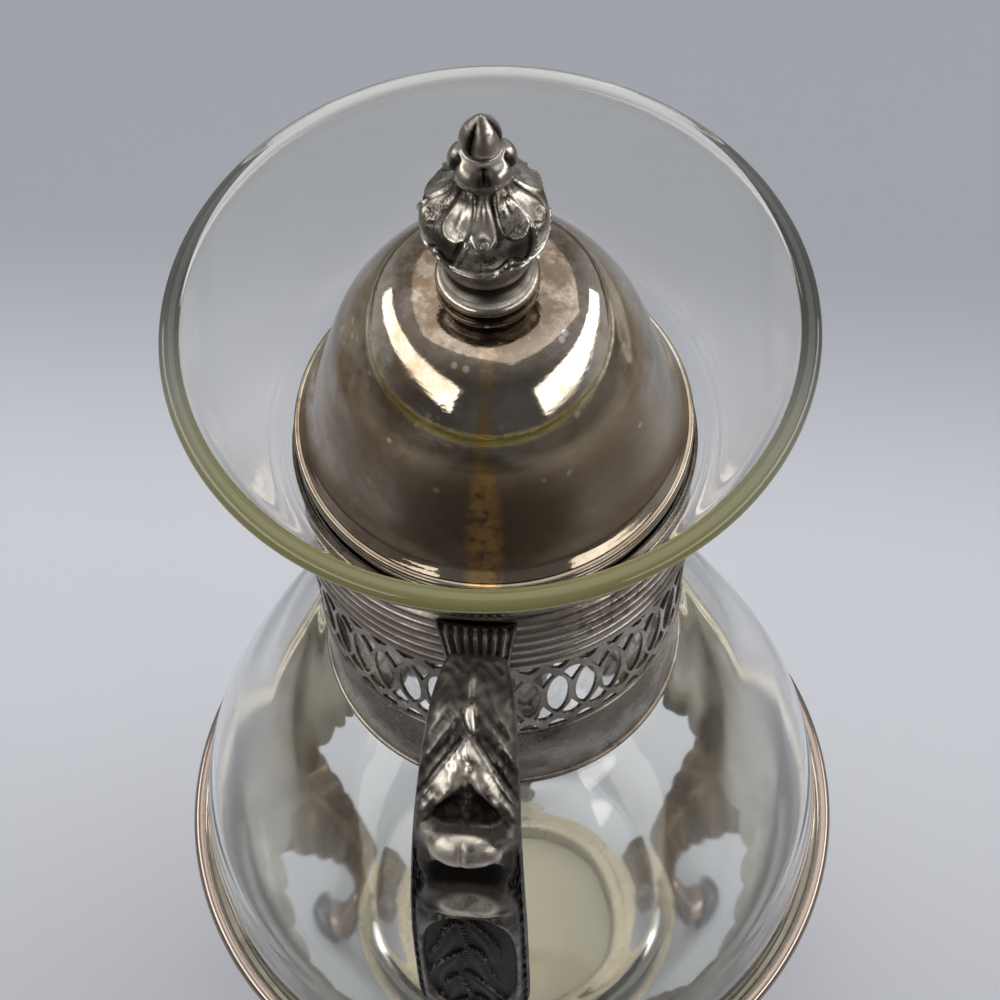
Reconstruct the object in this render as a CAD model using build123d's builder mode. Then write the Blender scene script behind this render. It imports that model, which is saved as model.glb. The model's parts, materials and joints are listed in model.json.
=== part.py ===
from build123d import *
import os
from math import asin, cos, degrees, hypot, pi, radians, sin, sqrt, tan

os.makedirs("parts", exist_ok=True)

# A glass carafe in a silvered collar with a cast handle and a loose domed lid, standing in a
# five-legged warming stand with a candle burner. Millimetres. The origin is on the vessel's
# axis at table height, +Z is up and the handle points to -Y.

# Clearances
loose_gap = 0.35          # between pieces that lift apart
solder_gap = 0.05         # between pieces that are soldered together
screw_play = 0.08         # radial play of a screw or rivet in its hole

# Glass vessel
glass_wall = 2.4
base_radius = 33.0
base_height = 66.0
base_thickness = 3.0
belly_radius = 71.0
belly_height = 132.0
seat_angle = 44.0         # below the belly's middle, where the round bowl turns into a cone
flank_inset = 10.0        # how far the flank lies inside the belly
flank_rise = 34.0
shoulder_width = 16.5     # how far the shoulder stands outside the neck
shoulder_rise = 57.0
neck_radius = 34.2
neck_bottom = 212.0
neck_top = 270.0
mouth_radius = 56.0
mouth_height = 320.5
mouth_wall = 3.4

# Collar round the neck
collar_sheet = 0.8
collar_bottom = 210.5
pierced_bottom = 232.5
pierced_top = 262.0
collar_top = 281.5
collar_waist_radius = 35.7
collar_top_radius = 37.6
collar_slit = 2.0         # the collar is split under the handle, so that it closes on the neck
reed_count = 6
reed_height = 0.8
foot_bead = 1.0
piercing_count = 40
oval_half_height = 11.5   # of the interlaced ovals, on their centre line
strap_width = 1.35        # of the metal left between the openings
clamp_lug_length = 6.6
clamp_lug_height = 7.5
clamp_lug_thickness = 1.2
clamp_screw_radius = 1.5
clamp_screw_tail = 0.6    # how far the screw stands out of its nut

# Handle
plate_bottom = 266.5
plate_top = collar_top + 0.4
plate_thickness = 1.6
plate_top_width = 14.4
plate_bottom_width = 11.0
flute_count = 7
flute_radius = 0.7
handle_width = 22.0
handle_thickness = 7.0
handle_reach = 75.2       # from the axis to the outside of the grip
grip_height = 194.5       # where the straight grip ends and the curl begins
curl_bottom = 179.6
handle_head_height = 271.5
handle_tail_height = 216.0
roll_radius = 2.2
panel_height = 215.0      # middle of the sunk oval panel on the grip
panel_half_height = 22.5
panel_half_width = 8.4
panel_depth = 1.1

# Lid
lid_sheet = 0.9
lid_seat_height = 286.3
lid_rim_radius = 35.8
lid_flange_thickness = 1.4
lid_rim_height = 4.0
lid_top_height = 330.5
lid_top_radius = 15.3
lid_skirt_depth = 18.0
lid_skirt_gap = 0.6
finial_height = 41.0
finial_base_radius = 8.2
finial_base_height = 6.5
bulb_radius = 10.3
bud_radius = 5.2
bud_lobes = 5
finial_screw_radius = 2.0

# Stand
rim_height = 122.4
rim_bead_radius = 1.9
gallery_sheet = 0.9
gallery_bottom = 89.5
gallery_scallops = 36
scallop_radius = 2.2
rim_skirt = 6.0
leg_count = 5
leg_turn = 7.0            # the stand is turned this much under the handle, in degrees
leg_sheet = 1.6
leaf_half_width = 18.5
leg_half_width = 5.4
leaf_lobe = 1.1           # how far the lobes of the leaf's edge bulge
waist_radius = 36.2       # of the legs' centre line, where the burner bracket is riveted on
foot_radius = 7.8
foot_flat_radius = 4.0
foot_circle = 55.5
rivet_radius = 1.5
rivet_head_radius = 3.0
rivet_flush_radius = 2.5

# Burner
bracket_sheet = 1.5
bracket_height = 42.2
bracket_rivet_head = 2.4
bracket_flap = 9.0
cup_radius = 27.4
cup_depth = 22.0
cup_sheet = 0.8
cup_flange = 3.6
candle_height = 15.5
wick_radius = 0.8
wick_length = 13.0


def radial_plane(angle):
    """A plane through the axis: x is the distance from the axis and y the height."""
    a = radians(angle)
    return Plane(origin=(0, 0, 0), x_dir=(cos(a), sin(a), 0), z_dir=(sin(a), -cos(a), 0))


def facing_plane(angle, distance=0.0, height=0.0):
    """A plane that faces away from the axis: x runs round the axis and y is up."""
    a = radians(angle)
    origin = (distance * cos(a), distance * sin(a), height)
    return Plane(origin=origin, x_dir=(-sin(a), cos(a), 0), z_dir=(cos(a), sin(a), 0))


def ball_radius(radius, height):
    """Distance from the axis of a ball round the belly's middle, at a given height."""
    return sqrt(radius**2 - (height - belly_height) ** 2)


def ball_point(radius, angle):
    """Point of that ball in a radial plane, by its angle below the belly's middle."""
    return (radius * cos(radians(angle)), belly_height - radius * sin(radians(angle)))


def beside(points, distance):
    """Points of an outline moved square to it, to the right of its way for a plus distance."""
    moved = []
    for i, (x, y) in enumerate(points):
        x0, y0 = points[max(i - 1, 0)]
        x1, y1 = points[min(i + 1, len(points) - 1)]
        length = hypot(x1 - x0, y1 - y0)
        moved.append((x + distance * (y1 - y0) / length, y - distance * (x1 - x0) / length))
    return moved


def between(low, high, share):
    return low + (high - low) * share


def finish(part, name):
    part.label = name
    export_step(part, f"parts/{name}.step")


# Glass vessel: flat base, conical heel, round belly, sloping shoulder, neck and flared mouth
cone_top = ball_point(belly_radius, seat_angle)
cone_slope = tan(radians(seat_angle))
heel_height = base_height + base_thickness
heel_point = (cone_top[0] - (cone_top[1] - heel_height) * cone_slope, heel_height)
cone_normal = (cos(radians(seat_angle)), -sin(radians(seat_angle)))
inner_heel = (heel_point[0] - glass_wall * cone_normal[0], heel_point[1] - glass_wall * cone_normal[1])
shoulder_line = [
    (belly_radius, belly_height),
    (belly_radius - flank_inset, belly_height + flank_rise),
    (neck_radius + shoulder_width, belly_height + shoulder_rise),
    (neck_radius + 5.6, neck_bottom - 8.4),
    (neck_radius, neck_bottom),
]
mouth_line = [
    (neck_radius, neck_top),
    (neck_radius + 1.9, collar_top - 0.3),
    (neck_radius + 5.2, lid_seat_height + 0.9),
    (between(neck_radius, mouth_radius, 0.7), between(neck_top, mouth_height, 0.7)),
    (mouth_radius - 0.9, mouth_height - 2.4),
]
inner_shoulder = beside(shoulder_line, -glass_wall)
inner_shoulder[0] = (belly_radius - glass_wall, belly_height)
inner_shoulder[-1] = (neck_radius - glass_wall, neck_bottom)
inner_mouth = beside(mouth_line, -glass_wall)
inner_mouth[0] = (neck_radius - glass_wall, neck_top)
inner_mouth[-1] = beside(mouth_line, -mouth_wall)[-1]
mouth_crown = (
    (mouth_line[-1][0] + inner_mouth[-1][0]) / 2 + mouth_wall * 0.22,
    (mouth_line[-1][1] + inner_mouth[-1][1]) / 2 + mouth_wall * 0.45,
)
with BuildPart() as glass_vessel:
    with BuildSketch(Plane.XZ):
        with BuildLine():
            Line((0, base_height), (base_radius, base_height))
            ThreePointArc((base_radius, base_height), (heel_point[0] - 0.9, base_height + 1.2), heel_point)
            Line(heel_point, cone_top)
            ThreePointArc(cone_top, ball_point(belly_radius, seat_angle / 2), shoulder_line[0])
            Spline(*shoulder_line, tangents=[(0, 1), (0, 1)])
            Line(shoulder_line[-1], mouth_line[0])
            Spline(*mouth_line, tangents=[(0, 1), (0.46, 1)])
            ThreePointArc(mouth_line[-1], mouth_crown, inner_mouth[-1])
            Spline(*reversed(inner_mouth), tangents=[(-0.46, -1), (0, -1)])
            Line(inner_mouth[0], inner_shoulder[-1])
            Spline(*reversed(inner_shoulder), tangents=[(0, -1), (0, -1)])
            inner_middle = ball_point(belly_radius - glass_wall, seat_angle / 2)
            inner_cone_top = ball_point(belly_radius - glass_wall, seat_angle)
            ThreePointArc(inner_shoulder[0], inner_middle, inner_cone_top)
            Line(inner_cone_top, inner_heel)
            Line(inner_heel, (base_radius - 1.5, heel_height))
            Line((base_radius - 1.5, heel_height), (0, heel_height))
            Line((0, heel_height), (0, base_height))
        make_face()
    revolve(axis=Axis.Z)
finish(glass_vessel.part, "glass_vessel")


# Collar: a reeded band, a pierced gallery and a plain foot band, one above the other
def collar_radius(height):
    """Outside of the collar: straight up to the waist and leaning out above it."""
    if height <= pierced_bottom:
        return collar_waist_radius
    share = (height - pierced_bottom) / (collar_top - pierced_bottom)
    return between(collar_waist_radius, collar_top_radius, share)


def cut_slit(bottom, top):
    """Open the collar under the handle, in the part that is being built."""
    with BuildSketch(Plane.XY.offset(bottom)) as slit:
        with Locations((0, -collar_top_radius)):
            Rectangle(collar_slit, collar_top_radius)
    extrude(slit.sketch, amount=top - bottom, mode=Mode.SUBTRACT)


reed_pitch = (collar_top - pierced_top) / reed_count
with BuildPart() as collar_reeded_band:
    with BuildSketch(Plane.XZ):
        with BuildLine():
            for reed in range(reed_count):
                low = pierced_top + reed * reed_pitch
                middle = low + reed_pitch / 2
                high = low + reed_pitch
                crest = (collar_radius(middle) + reed_height, middle)
                ThreePointArc((collar_radius(low), low), crest, (collar_radius(high), high))
            Line((collar_top_radius, collar_top), (collar_top_radius - collar_sheet, collar_top))
            inner_low = (collar_radius(pierced_top) - collar_sheet, pierced_top)
            Line((collar_top_radius - collar_sheet, collar_top), inner_low)
            Line(inner_low, (collar_radius(pierced_top), pierced_top))
        make_face()
    revolve(axis=Axis.Z)
    cut_slit(pierced_top, collar_top)
finish(collar_reeded_band.part, "collar_reeded_band")

# The pierced gallery: a row of upright ovals, each one pitch wide to either side, so that every
# oval crosses its neighbours and touches the next but one. What is cut away is the pointed leaf
# where two ovals overlap, the three-cornered gaps above and below it, and the lenses at the edges.
piercing_middle = (pierced_bottom + pierced_top) / 2
piercing_pitch = 2 * pi * collar_radius(piercing_middle) / piercing_count
half_strap = strap_width / 2
lens_edge = (pierced_top - pierced_bottom) / 2 - 0.6


def oval_height(offset, grow):
    """Height of an oval's line at a distance from its own centre, grown outward or inward."""
    half_width = piercing_pitch + grow
    return (oval_half_height + grow) * sqrt(max(0.0, 1 - (offset / half_width) ** 2))


def leaf_points():
    """Where two neighbouring ovals overlap, round the middle of one pitch."""
    tip = oval_height(piercing_pitch / 2, -half_strap) * 0.86
    side = piercing_pitch / 2 - half_strap
    return [(0, tip), (side * 0.72, tip * 0.5), (side * 0.95, 0), (side * 0.72, -tip * 0.5),
            (0, -tip), (-side * 0.72, -tip * 0.5), (-side * 0.95, 0), (-side * 0.72, tip * 0.5)]


def corner_points(side):
    """The three-cornered gap inside one oval, above (1) or below (-1) the middle."""
    top = oval_height(0, -half_strap)
    low = oval_half_height * 0.30
    wide = piercing_pitch / 2 - half_strap * 1.1
    high = oval_height(wide, -half_strap) * 0.88
    return [(0, side * low), (wide, side * high), (0, side * top), (-wide, side * high)]


def lens_points(side):
    """The gap between two ovals' tops and the straight edge of the band."""
    wide = piercing_pitch / 2 - half_strap * 0.8
    tip = oval_height(piercing_pitch / 2, half_strap) + half_strap * 0.4
    return [(-wide, side * lens_edge), (-wide * 0.55, side * between(tip, lens_edge, 0.3)),
            (0, side * tip), (wide * 0.55, side * between(tip, lens_edge, 0.3)), (wide, side * lens_edge)]


leaf_outlines = [leaf_points(), lens_points(1), lens_points(-1)]
corner_outlines = [corner_points(1), corner_points(-1)]
half_pitch_angle = 180 / piercing_count
with BuildPart() as one_piercing:
    for turn, outlines in ((-90, leaf_outlines), (half_pitch_angle - 90, corner_outlines)):
        with BuildSketch(facing_plane(turn, neck_radius - 2, piercing_middle)):
            for outline in outlines:
                with BuildLine():
                    Polyline(*outline, close=True)
                make_face()
        extrude(amount=collar_top_radius - neck_radius + 4)
with BuildPart() as piercings:
    with PolarLocations(0, piercing_count):
        add(one_piercing.part)
with BuildPart() as collar_pierced_gallery:
    with BuildSketch(Plane.XZ):
        with BuildLine():
            low_out = collar_radius(pierced_bottom)
            high_out = collar_radius(pierced_top)
            Polyline(
                (low_out, pierced_bottom),
                (high_out, pierced_top),
                (high_out - collar_sheet, pierced_top),
                (low_out - collar_sheet, pierced_bottom),
                close=True,
            )
        make_face()
    revolve(axis=Axis.Z)
    add(piercings.part, mode=Mode.SUBTRACT)
    cut_slit(pierced_bottom, pierced_top)
finish(collar_pierced_gallery.part, "collar_pierced_gallery")

with BuildPart() as collar_foot_band:
    with BuildSketch(Plane.XZ):
        inside = collar_waist_radius - collar_sheet
        with BuildLine():
            Line((inside, collar_bottom), (collar_waist_radius, collar_bottom))
            bead_middle = (collar_waist_radius + foot_bead / 2, collar_bottom + foot_bead)
            bead_top = (collar_waist_radius, collar_bottom + 2 * foot_bead)
            ThreePointArc((collar_waist_radius, collar_bottom), bead_middle, bead_top)
            Line(bead_top, (collar_waist_radius, pierced_bottom))
            Line((collar_waist_radius, pierced_bottom), (inside, pierced_bottom))
            Line((inside, pierced_bottom), (inside, collar_bottom))
        make_face()
    revolve(axis=Axis.Z)
    cut_slit(collar_bottom, pierced_bottom)
finish(collar_foot_band.part, "collar_foot_band")

# Clamp: two lugs on the foot band, drawn together by a screw and a nut under the handle
lug_start = collar_waist_radius + solder_gap
lug_middle = lug_start + clamp_lug_length * 0.62
lug_height = pierced_bottom - clamp_lug_height / 2 - 0.5
with BuildPart() as collar_clamp_lugs:
    for side in (-1, 1):
        lug_side = side * (collar_slit + clamp_lug_thickness) / 2
        with Locations((lug_side, -lug_start - clamp_lug_length / 2, lug_height)):
            Box(clamp_lug_thickness, clamp_lug_length, clamp_lug_height)
    with Locations(Plane(origin=(0, -lug_middle, lug_height), z_dir=(1, 0, 0))):
        Cylinder(clamp_screw_radius + screw_play, 4 * clamp_lug_thickness + collar_slit, mode=Mode.SUBTRACT)
finish(collar_clamp_lugs.part, "collar_clamp_lugs")

lug_face = collar_slit / 2 + clamp_lug_thickness
nut_thickness = clamp_screw_radius * 1.5
screw_plane = Plane(origin=(0, -lug_middle, lug_height), x_dir=(0, 0, 1), z_dir=(1, 0, 0))
with BuildPart() as clamp_screw:
    with BuildSketch(screw_plane.offset(-lug_face - nut_thickness - clamp_screw_tail)):
        Circle(clamp_screw_radius)
    extrude(amount=2 * lug_face + nut_thickness + clamp_screw_tail)
    with BuildSketch(screw_plane.offset(lug_face)):
        Circle(clamp_screw_radius * 1.85)
    extrude(amount=clamp_screw_radius * 1.1)
    fillet(clamp_screw.edges().filter_by(GeomType.CIRCLE).sort_by(Axis.X)[-1], clamp_screw_radius * 0.6)
finish(clamp_screw.part, "clamp_screw")

with BuildPart() as clamp_nut:
    with BuildSketch(screw_plane.offset(-lug_face - nut_thickness)):
        RegularPolygon(clamp_screw_radius * 1.9, 6)
        Circle(clamp_screw_radius + screw_play, mode=Mode.SUBTRACT)
    extrude(amount=nut_thickness)
finish(clamp_nut.part, "clamp_nut")

# Fluted root plate, bent round the reeded band, that carries the head of the handle
plate_inside = collar_top_radius + reed_height + solder_gap
plate_spread = degrees(asin(plate_top_width / 2 / plate_inside)) + 3
with BuildPart() as handle_root_plate:
    with BuildSketch(radial_plane(-90 - plate_spread)):
        with BuildLine():
            Polyline(
                (plate_inside, plate_bottom),
                (plate_inside + plate_thickness, plate_bottom),
                (plate_inside + plate_thickness, plate_top),
                (plate_inside, plate_top),
                close=True,
            )
        make_face()
    revolve(axis=Axis.Z, revolution_arc=2 * plate_spread)
    with BuildSketch(facing_plane(-90)):
        with BuildLine():
            Polyline(
                (-plate_top_width / 2, plate_top),
                (plate_top_width / 2, plate_top),
                (plate_bottom_width / 2, plate_bottom),
                (-plate_bottom_width / 2, plate_bottom),
                close=True,
            )
        make_face()
    extrude(amount=2 * plate_inside, mode=Mode.INTERSECT)
    flute_span = plate_top_width * 0.86
    for flute in range(flute_count):
        across = -flute_span / 2 + flute_span * flute / (flute_count - 1)
        flute_angle = -90 + degrees(asin(across / plate_inside))
        with BuildSketch(Plane.XY.offset(plate_bottom)):
            with PolarLocations(plate_inside + plate_thickness + 0.25, 1, start_angle=flute_angle):
                Circle(flute_radius)
        extrude(amount=plate_top - plate_bottom, mode=Mode.SUBTRACT)
finish(handle_root_plate.part, "handle_root_plate")

# Handle: a cast bow, lofted through rounded sections square to its spine. A station gives how far
# out and how far down (or up) it lies, as shares, and the shares of the full width and thickness.
spine_reach = handle_reach - handle_thickness / 2
head_reach = plate_inside + plate_thickness - 0.6
tail_reach = collar_waist_radius - 0.8
head_shares = [
    (0.0, 0.0, 0.48, 0.95),
    (0.22, 0.009, 0.66, 1.1),
    (0.47, 0.062, 0.77, 1.14),
    (0.668, 0.144, 0.84, 1.12),
    (0.814, 0.24, 0.89, 1.07),
    (0.935, 0.422, 0.95, 1.02),
    (0.988, 0.617, 0.99, 1.0),
    (1.0, 0.812, 1.0, 1.0),
    (1.0, 1.0, 1.0, 1.0),
]
tail_shares = [
    (0.986, 0.203, 0.96, 1.0),
    (0.918, 0.047, 0.87, 0.98),
    (0.802, 0.0, 0.76, 0.94),
    (0.698, 0.077, 0.68, 0.91),
    (0.617, 0.198, 0.62, 0.89),
    (0.527, 0.335, 0.58, 0.87),
    (0.427, 0.484, 0.55, 0.86),
    (0.288, 0.681, 0.52, 0.84),
    (0.136, 0.89, 0.5, 0.84),
    (0.0, 1.0, 0.48, 0.86),
]
handle_stations = []
for out, down, wide, thick in head_shares:
    reach = between(head_reach, spine_reach, out)
    handle_stations.append((reach, between(handle_head_height, grip_height, down), wide, thick))
for out, up, wide, thick in tail_shares:
    reach = between(tail_reach, spine_reach, out)
    handle_stations.append((reach, between(curl_bottom, handle_tail_height, up), wide, thick))
roll_stations = [(4, 0.80), (5, 0.70)]   # a station and the roll's share of the width there


def handle_plane(index):
    """Section plane at a station of the handle, square to the line through its neighbours."""
    reach, height = handle_stations[index][:2]
    before = handle_stations[max(index - 1, 0)]
    after = handle_stations[min(index + 1, len(handle_stations) - 1)]
    way = (0, -(after[0] - before[0]), after[1] - before[1])
    return Plane(origin=(0, -reach, height), x_dir=(1, 0, 0), z_dir=way)


with BuildPart() as handle:
    for index, (reach, height, wide, thick) in enumerate(handle_stations):
        with BuildSketch(handle_plane(index)):
            section_thickness = handle_thickness * thick
            RectangleRounded(handle_width * wide, section_thickness, section_thickness * 0.42)
    loft()
    for station, share in roll_stations:
        reach, height, wide, thick = handle_stations[station]
        roll_place = handle_plane(station)
        outward = 1 if roll_place.y_dir.Z > 0 else -1
        roll_origin = roll_place.origin + roll_place.y_dir * outward * handle_thickness * thick * 0.36
        with Locations(Plane(origin=roll_origin, x_dir=(0, 0, 1), z_dir=(1, 0, 0))):
            Cylinder(roll_radius, handle_width * wide * share)
    with BuildSketch(facing_plane(-90, handle_reach - panel_depth, panel_height)):
        Ellipse(panel_half_width, panel_half_height)
    extrude(amount=2 * panel_depth, mode=Mode.SUBTRACT)
    with Locations((0, 0, handle_head_height)):
        Cylinder(plate_inside + plate_thickness + solder_gap, 30, mode=Mode.SUBTRACT)
    with Locations((0, 0, handle_tail_height)):
        Cylinder(collar_waist_radius + foot_bead / 2 + solder_gap, 30, mode=Mode.SUBTRACT)
finish(handle.part, "handle")

# Lid: a rim that seats in the flared mouth, a skirt in the neck and a bell-shaped dome
flange_top = lid_seat_height + lid_flange_thickness
skirt_outside = neck_radius - glass_wall - lid_skirt_gap
dome_foot = lid_rim_radius - 1.25
dome_line = [
    (lid_top_radius, lid_top_height - 0.2),
    (lid_top_radius + 2.9, lid_top_height - 2.8),
    (between(lid_top_radius, dome_foot, 0.36), lid_top_height - 8.4),
    (between(lid_top_radius, dome_foot, 0.57), lid_top_height - 15.0),
    (between(lid_top_radius, dome_foot, 0.77), between(lid_top_height, flange_top, 0.64)),
    (dome_foot, flange_top),
]
inner_dome = beside(dome_line, lid_sheet)
inner_dome[0] = (lid_top_radius - 0.9, lid_top_height - lid_sheet)
inner_dome[-1] = (dome_foot - lid_sheet, flange_top)
with BuildPart() as lid_dome:
    with BuildSketch(Plane.XZ):
        hole = finial_screw_radius + screw_play
        with BuildLine():
            Line((hole, lid_top_height), (lid_top_radius - 1.2, lid_top_height))
            Line((lid_top_radius - 1.2, lid_top_height), dome_line[0])
            Spline(*dome_line)
            Line(dome_line[-1], inner_dome[-1])
            Spline(*reversed(inner_dome))
            Line(inner_dome[0], (hole, lid_top_height - lid_sheet))
            Line((hole, lid_top_height - lid_sheet), (hole, lid_top_height))
        make_face()
    revolve(axis=Axis.Z)
finish(lid_dome.part, "lid_dome")

bead_inside = dome_foot + 0.2
with BuildPart() as lid_rim:
    with BuildSketch(Plane.XZ):
        with BuildLine():
            Line((skirt_outside - lid_sheet, lid_seat_height), (lid_rim_radius - 0.4, lid_seat_height))
            reed_line = [
                (lid_rim_radius - 0.4, lid_seat_height),
                (lid_rim_radius, lid_seat_height + lid_rim_height * 0.15),
                (lid_rim_radius - 0.3, lid_seat_height + lid_rim_height * 0.3),
                (lid_rim_radius, lid_seat_height + lid_rim_height * 0.45),
                (lid_rim_radius - 0.4, lid_seat_height + lid_rim_height * 0.6),
            ]
            ThreePointArc(*reed_line[:3])
            ThreePointArc(*reed_line[2:])
            bead_crown = (lid_rim_radius - 0.35, lid_seat_height + lid_rim_height * 0.9)
            ThreePointArc(reed_line[-1], bead_crown, (bead_inside, lid_seat_height + lid_rim_height))
            Line((bead_inside, lid_seat_height + lid_rim_height), (bead_inside, flange_top))
            Line((bead_inside, flange_top), (skirt_outside - lid_sheet, flange_top))
            Line((skirt_outside - lid_sheet, flange_top), (skirt_outside - lid_sheet, lid_seat_height))
        make_face()
    revolve(axis=Axis.Z)
finish(lid_rim.part, "lid_rim")

with BuildPart() as lid_skirt:
    with BuildSketch(Plane.XY.offset(lid_seat_height - lid_skirt_depth)):
        Circle(skirt_outside)
        Circle(skirt_outside - lid_sheet, mode=Mode.SUBTRACT)
    extrude(amount=lid_skirt_depth)
finish(lid_skirt.part, "lid_skirt")

# Finial: a turned base and a cast bud of leaves, held by a screw from inside the dome
finial_start = lid_top_height + finial_base_height
with BuildPart() as finial_base:
    with BuildSketch(Plane.XZ):
        with BuildLine():
            Line((hole, lid_top_height), (finial_base_radius - 0.9, lid_top_height))
            ThreePointArc(
                (finial_base_radius - 0.9, lid_top_height),
                (finial_base_radius, lid_top_height + 1.4),
                (finial_base_radius - 0.9, lid_top_height + 2.8),
            )
            ThreePointArc(
                (finial_base_radius - 0.9, lid_top_height + 2.8),
                (finial_base_radius - 2.2, lid_top_height + 4.6),
                (finial_base_radius - 1.0, finial_start),
            )
            Line((finial_base_radius - 1.0, finial_start), (hole, finial_start))
            Line((hole, finial_start), (hole, lid_top_height))
        make_face()
    revolve(axis=Axis.Z)
finish(finial_base.part, "finial_base")

finial_tip = lid_top_height + finial_height
bulb_height = finial_start + 12.0
bud_height = finial_tip - 10.5
screw_end = bulb_height + 1.0
with BuildPart() as finial:
    with BuildSketch(Plane.XZ):
        with BuildLine():
            Line((hole, finial_start), (finial_base_radius - 1.2, finial_start))
            skirt_edge = (bulb_radius - 1.0, bulb_height - 6.0)
            Spline(
                (finial_base_radius - 1.2, finial_start),
                (finial_base_radius - 0.8, finial_start + 3.0),
                skirt_edge,
            )
            Spline(
                skirt_edge,
                (bulb_radius, bulb_height - 0.4),
                (bulb_radius - 1.1, bulb_height + 2.3),
                (bulb_radius - 4.0, bulb_height + 4.8),
                (bud_radius - 1.0, bud_height - 3.4),
            )
            Spline(
                (bud_radius - 1.0, bud_height - 3.4),
                (bud_radius - 0.4, bud_height),
                (bud_radius - 2.4, bud_height + 3.4),
            )
            Spline(
                (bud_radius - 2.4, bud_height + 3.4),
                (bud_radius - 1.9, bud_height + 5.8),
                (bud_radius - 2.9, bud_height + 8.2),
                (0, finial_tip),
                tangents=[(0.5, 1), (-1, 0.1)],
            )
            Line((0, finial_tip), (0, screw_end))
            Line((0, screw_end), (hole, screw_end))
            Line((hole, screw_end), (hole, finial_start))
        make_face()
    revolve(axis=Axis.Z)
    with Locations((0, 0, bud_height)):
        with PolarLocations(bud_radius - 2.1, bud_lobes, start_angle=-54):
            Sphere(2.4)
finish(finial.part, "finial")

washer_top = lid_top_height - lid_sheet
washer_thickness = 1.2
with BuildPart() as finial_washer:
    with BuildSketch(Plane.XY.offset(washer_top - washer_thickness)):
        Circle(finial_screw_radius * 3)
        Circle(hole, mode=Mode.SUBTRACT)
    extrude(amount=washer_thickness)
finish(finial_washer.part, "finial_washer")

screw_head_height = finial_screw_radius * 1.2
screw_seat = washer_top - washer_thickness
with BuildPart() as finial_screw:
    with BuildSketch(Plane.XY.offset(screw_seat)):
        Circle(finial_screw_radius)
    extrude(amount=screw_end - 0.5 - screw_seat)
    with BuildSketch(Plane.XY.offset(screw_seat - screw_head_height)):
        Circle(finial_screw_radius * 2)
    extrude(amount=screw_head_height)
    fillet(finial_screw.edges().filter_by(GeomType.CIRCLE).sort_by(Axis.Z)[0], finial_screw_radius * 0.5)
    with BuildSketch(Plane.XY.offset(screw_seat - screw_head_height)):
        Rectangle(finial_screw_radius * 5, finial_screw_radius * 0.4)
    extrude(amount=screw_head_height * 0.45, mode=Mode.SUBTRACT)
finish(finial_screw.part, "finial_screw")

# Stand: a bowl-shaped gallery that the belly rests in, with a beaded rim
gallery_inside = belly_radius + loose_gap
gallery_outside = gallery_inside + gallery_sheet
gallery_top = rim_height - rim_bead_radius
rim_centre = ball_radius(gallery_outside, rim_height) + rim_bead_radius + 0.1
scallop_pitch_angle = 360 / gallery_scallops
leg_angles = [90 + leg_turn + index * 360 / leg_count for index in range(leg_count)]
rivet_height = between(gallery_bottom, gallery_top, 0.42)
rivet_spread = degrees(asin((leaf_half_width - 4.4) / ball_radius(gallery_outside, rivet_height)))
rivet_drop = degrees(asin((belly_height - rivet_height) / gallery_outside))


def rivet_plane(angle, radius):
    """Plane on a ball round the belly's middle, facing outward, at a leg's rivet."""
    a, drop = radians(angle), radians(rivet_drop)
    out = (cos(a) * cos(drop), sin(a) * cos(drop), -sin(drop))
    origin = (radius * out[0], radius * out[1], belly_height + radius * out[2])
    return Plane(origin=origin, x_dir=(-sin(a), cos(a), 0), z_dir=out)


rivet_angles = [leg_angle + side * rivet_spread for leg_angle in leg_angles for side in (-1, 1)]
with BuildPart() as stand_gallery:
    with BuildSketch(Plane.XZ):
        with BuildLine():
            middle_height = (gallery_bottom + gallery_top) / 2
            heights = [gallery_bottom, middle_height, gallery_top]
            inner_ends = [(ball_radius(gallery_inside, h), h) for h in heights]
            outer_ends = [(ball_radius(gallery_outside, h), h) for h in reversed(heights)]
            ThreePointArc(*inner_ends)
            Line(inner_ends[-1], outer_ends[0])
            ThreePointArc(*outer_ends)
            Line(outer_ends[-1], inner_ends[0])
        make_face()
    revolve(axis=Axis.Z)
    for index in range(gallery_scallops):
        notch_angle = (index + 0.5) * scallop_pitch_angle
        with BuildSketch(facing_plane(notch_angle, base_radius, gallery_bottom - 0.6)):
            Circle(scallop_radius)
    extrude(amount=belly_radius, mode=Mode.SUBTRACT)
    for angle in rivet_angles:
        with BuildSketch(rivet_plane(angle, gallery_inside - 2)):
            Circle(rivet_flush_radius + screw_play)
    extrude(amount=4 + gallery_sheet, mode=Mode.SUBTRACT)
finish(stand_gallery.part, "stand_gallery")

skirt_bottom = gallery_top - rim_skirt
with BuildPart() as stand_rim:
    with BuildSketch(Plane.XZ):
        with Locations((rim_centre, rim_height)):
            Circle(rim_bead_radius)
        with BuildLine():
            lip_inside = ball_radius(gallery_inside, gallery_top) + 0.3
            skirt_ball = gallery_outside + solder_gap
            skirt_heights = [skirt_bottom, skirt_bottom + rim_skirt / 2, gallery_top]
            skirt_ends = [(ball_radius(skirt_ball, h), h) for h in skirt_heights]
            ThreePointArc(*skirt_ends)
            Line(skirt_ends[-1], (lip_inside, gallery_top))
            Line((lip_inside, gallery_top), (lip_inside, rim_height))
            Line((lip_inside, rim_height), (rim_centre, rim_height))
            Line((rim_centre, rim_height), (rim_centre, gallery_top - 0.6))
            Line((rim_centre, gallery_top - 0.6), (skirt_ends[0][0] + 0.9, skirt_bottom))
            Line((skirt_ends[0][0] + 0.9, skirt_bottom), skirt_ends[0])
        make_face()
    revolve(axis=Axis.Z)
finish(stand_rim.part, "stand_rim")

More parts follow.
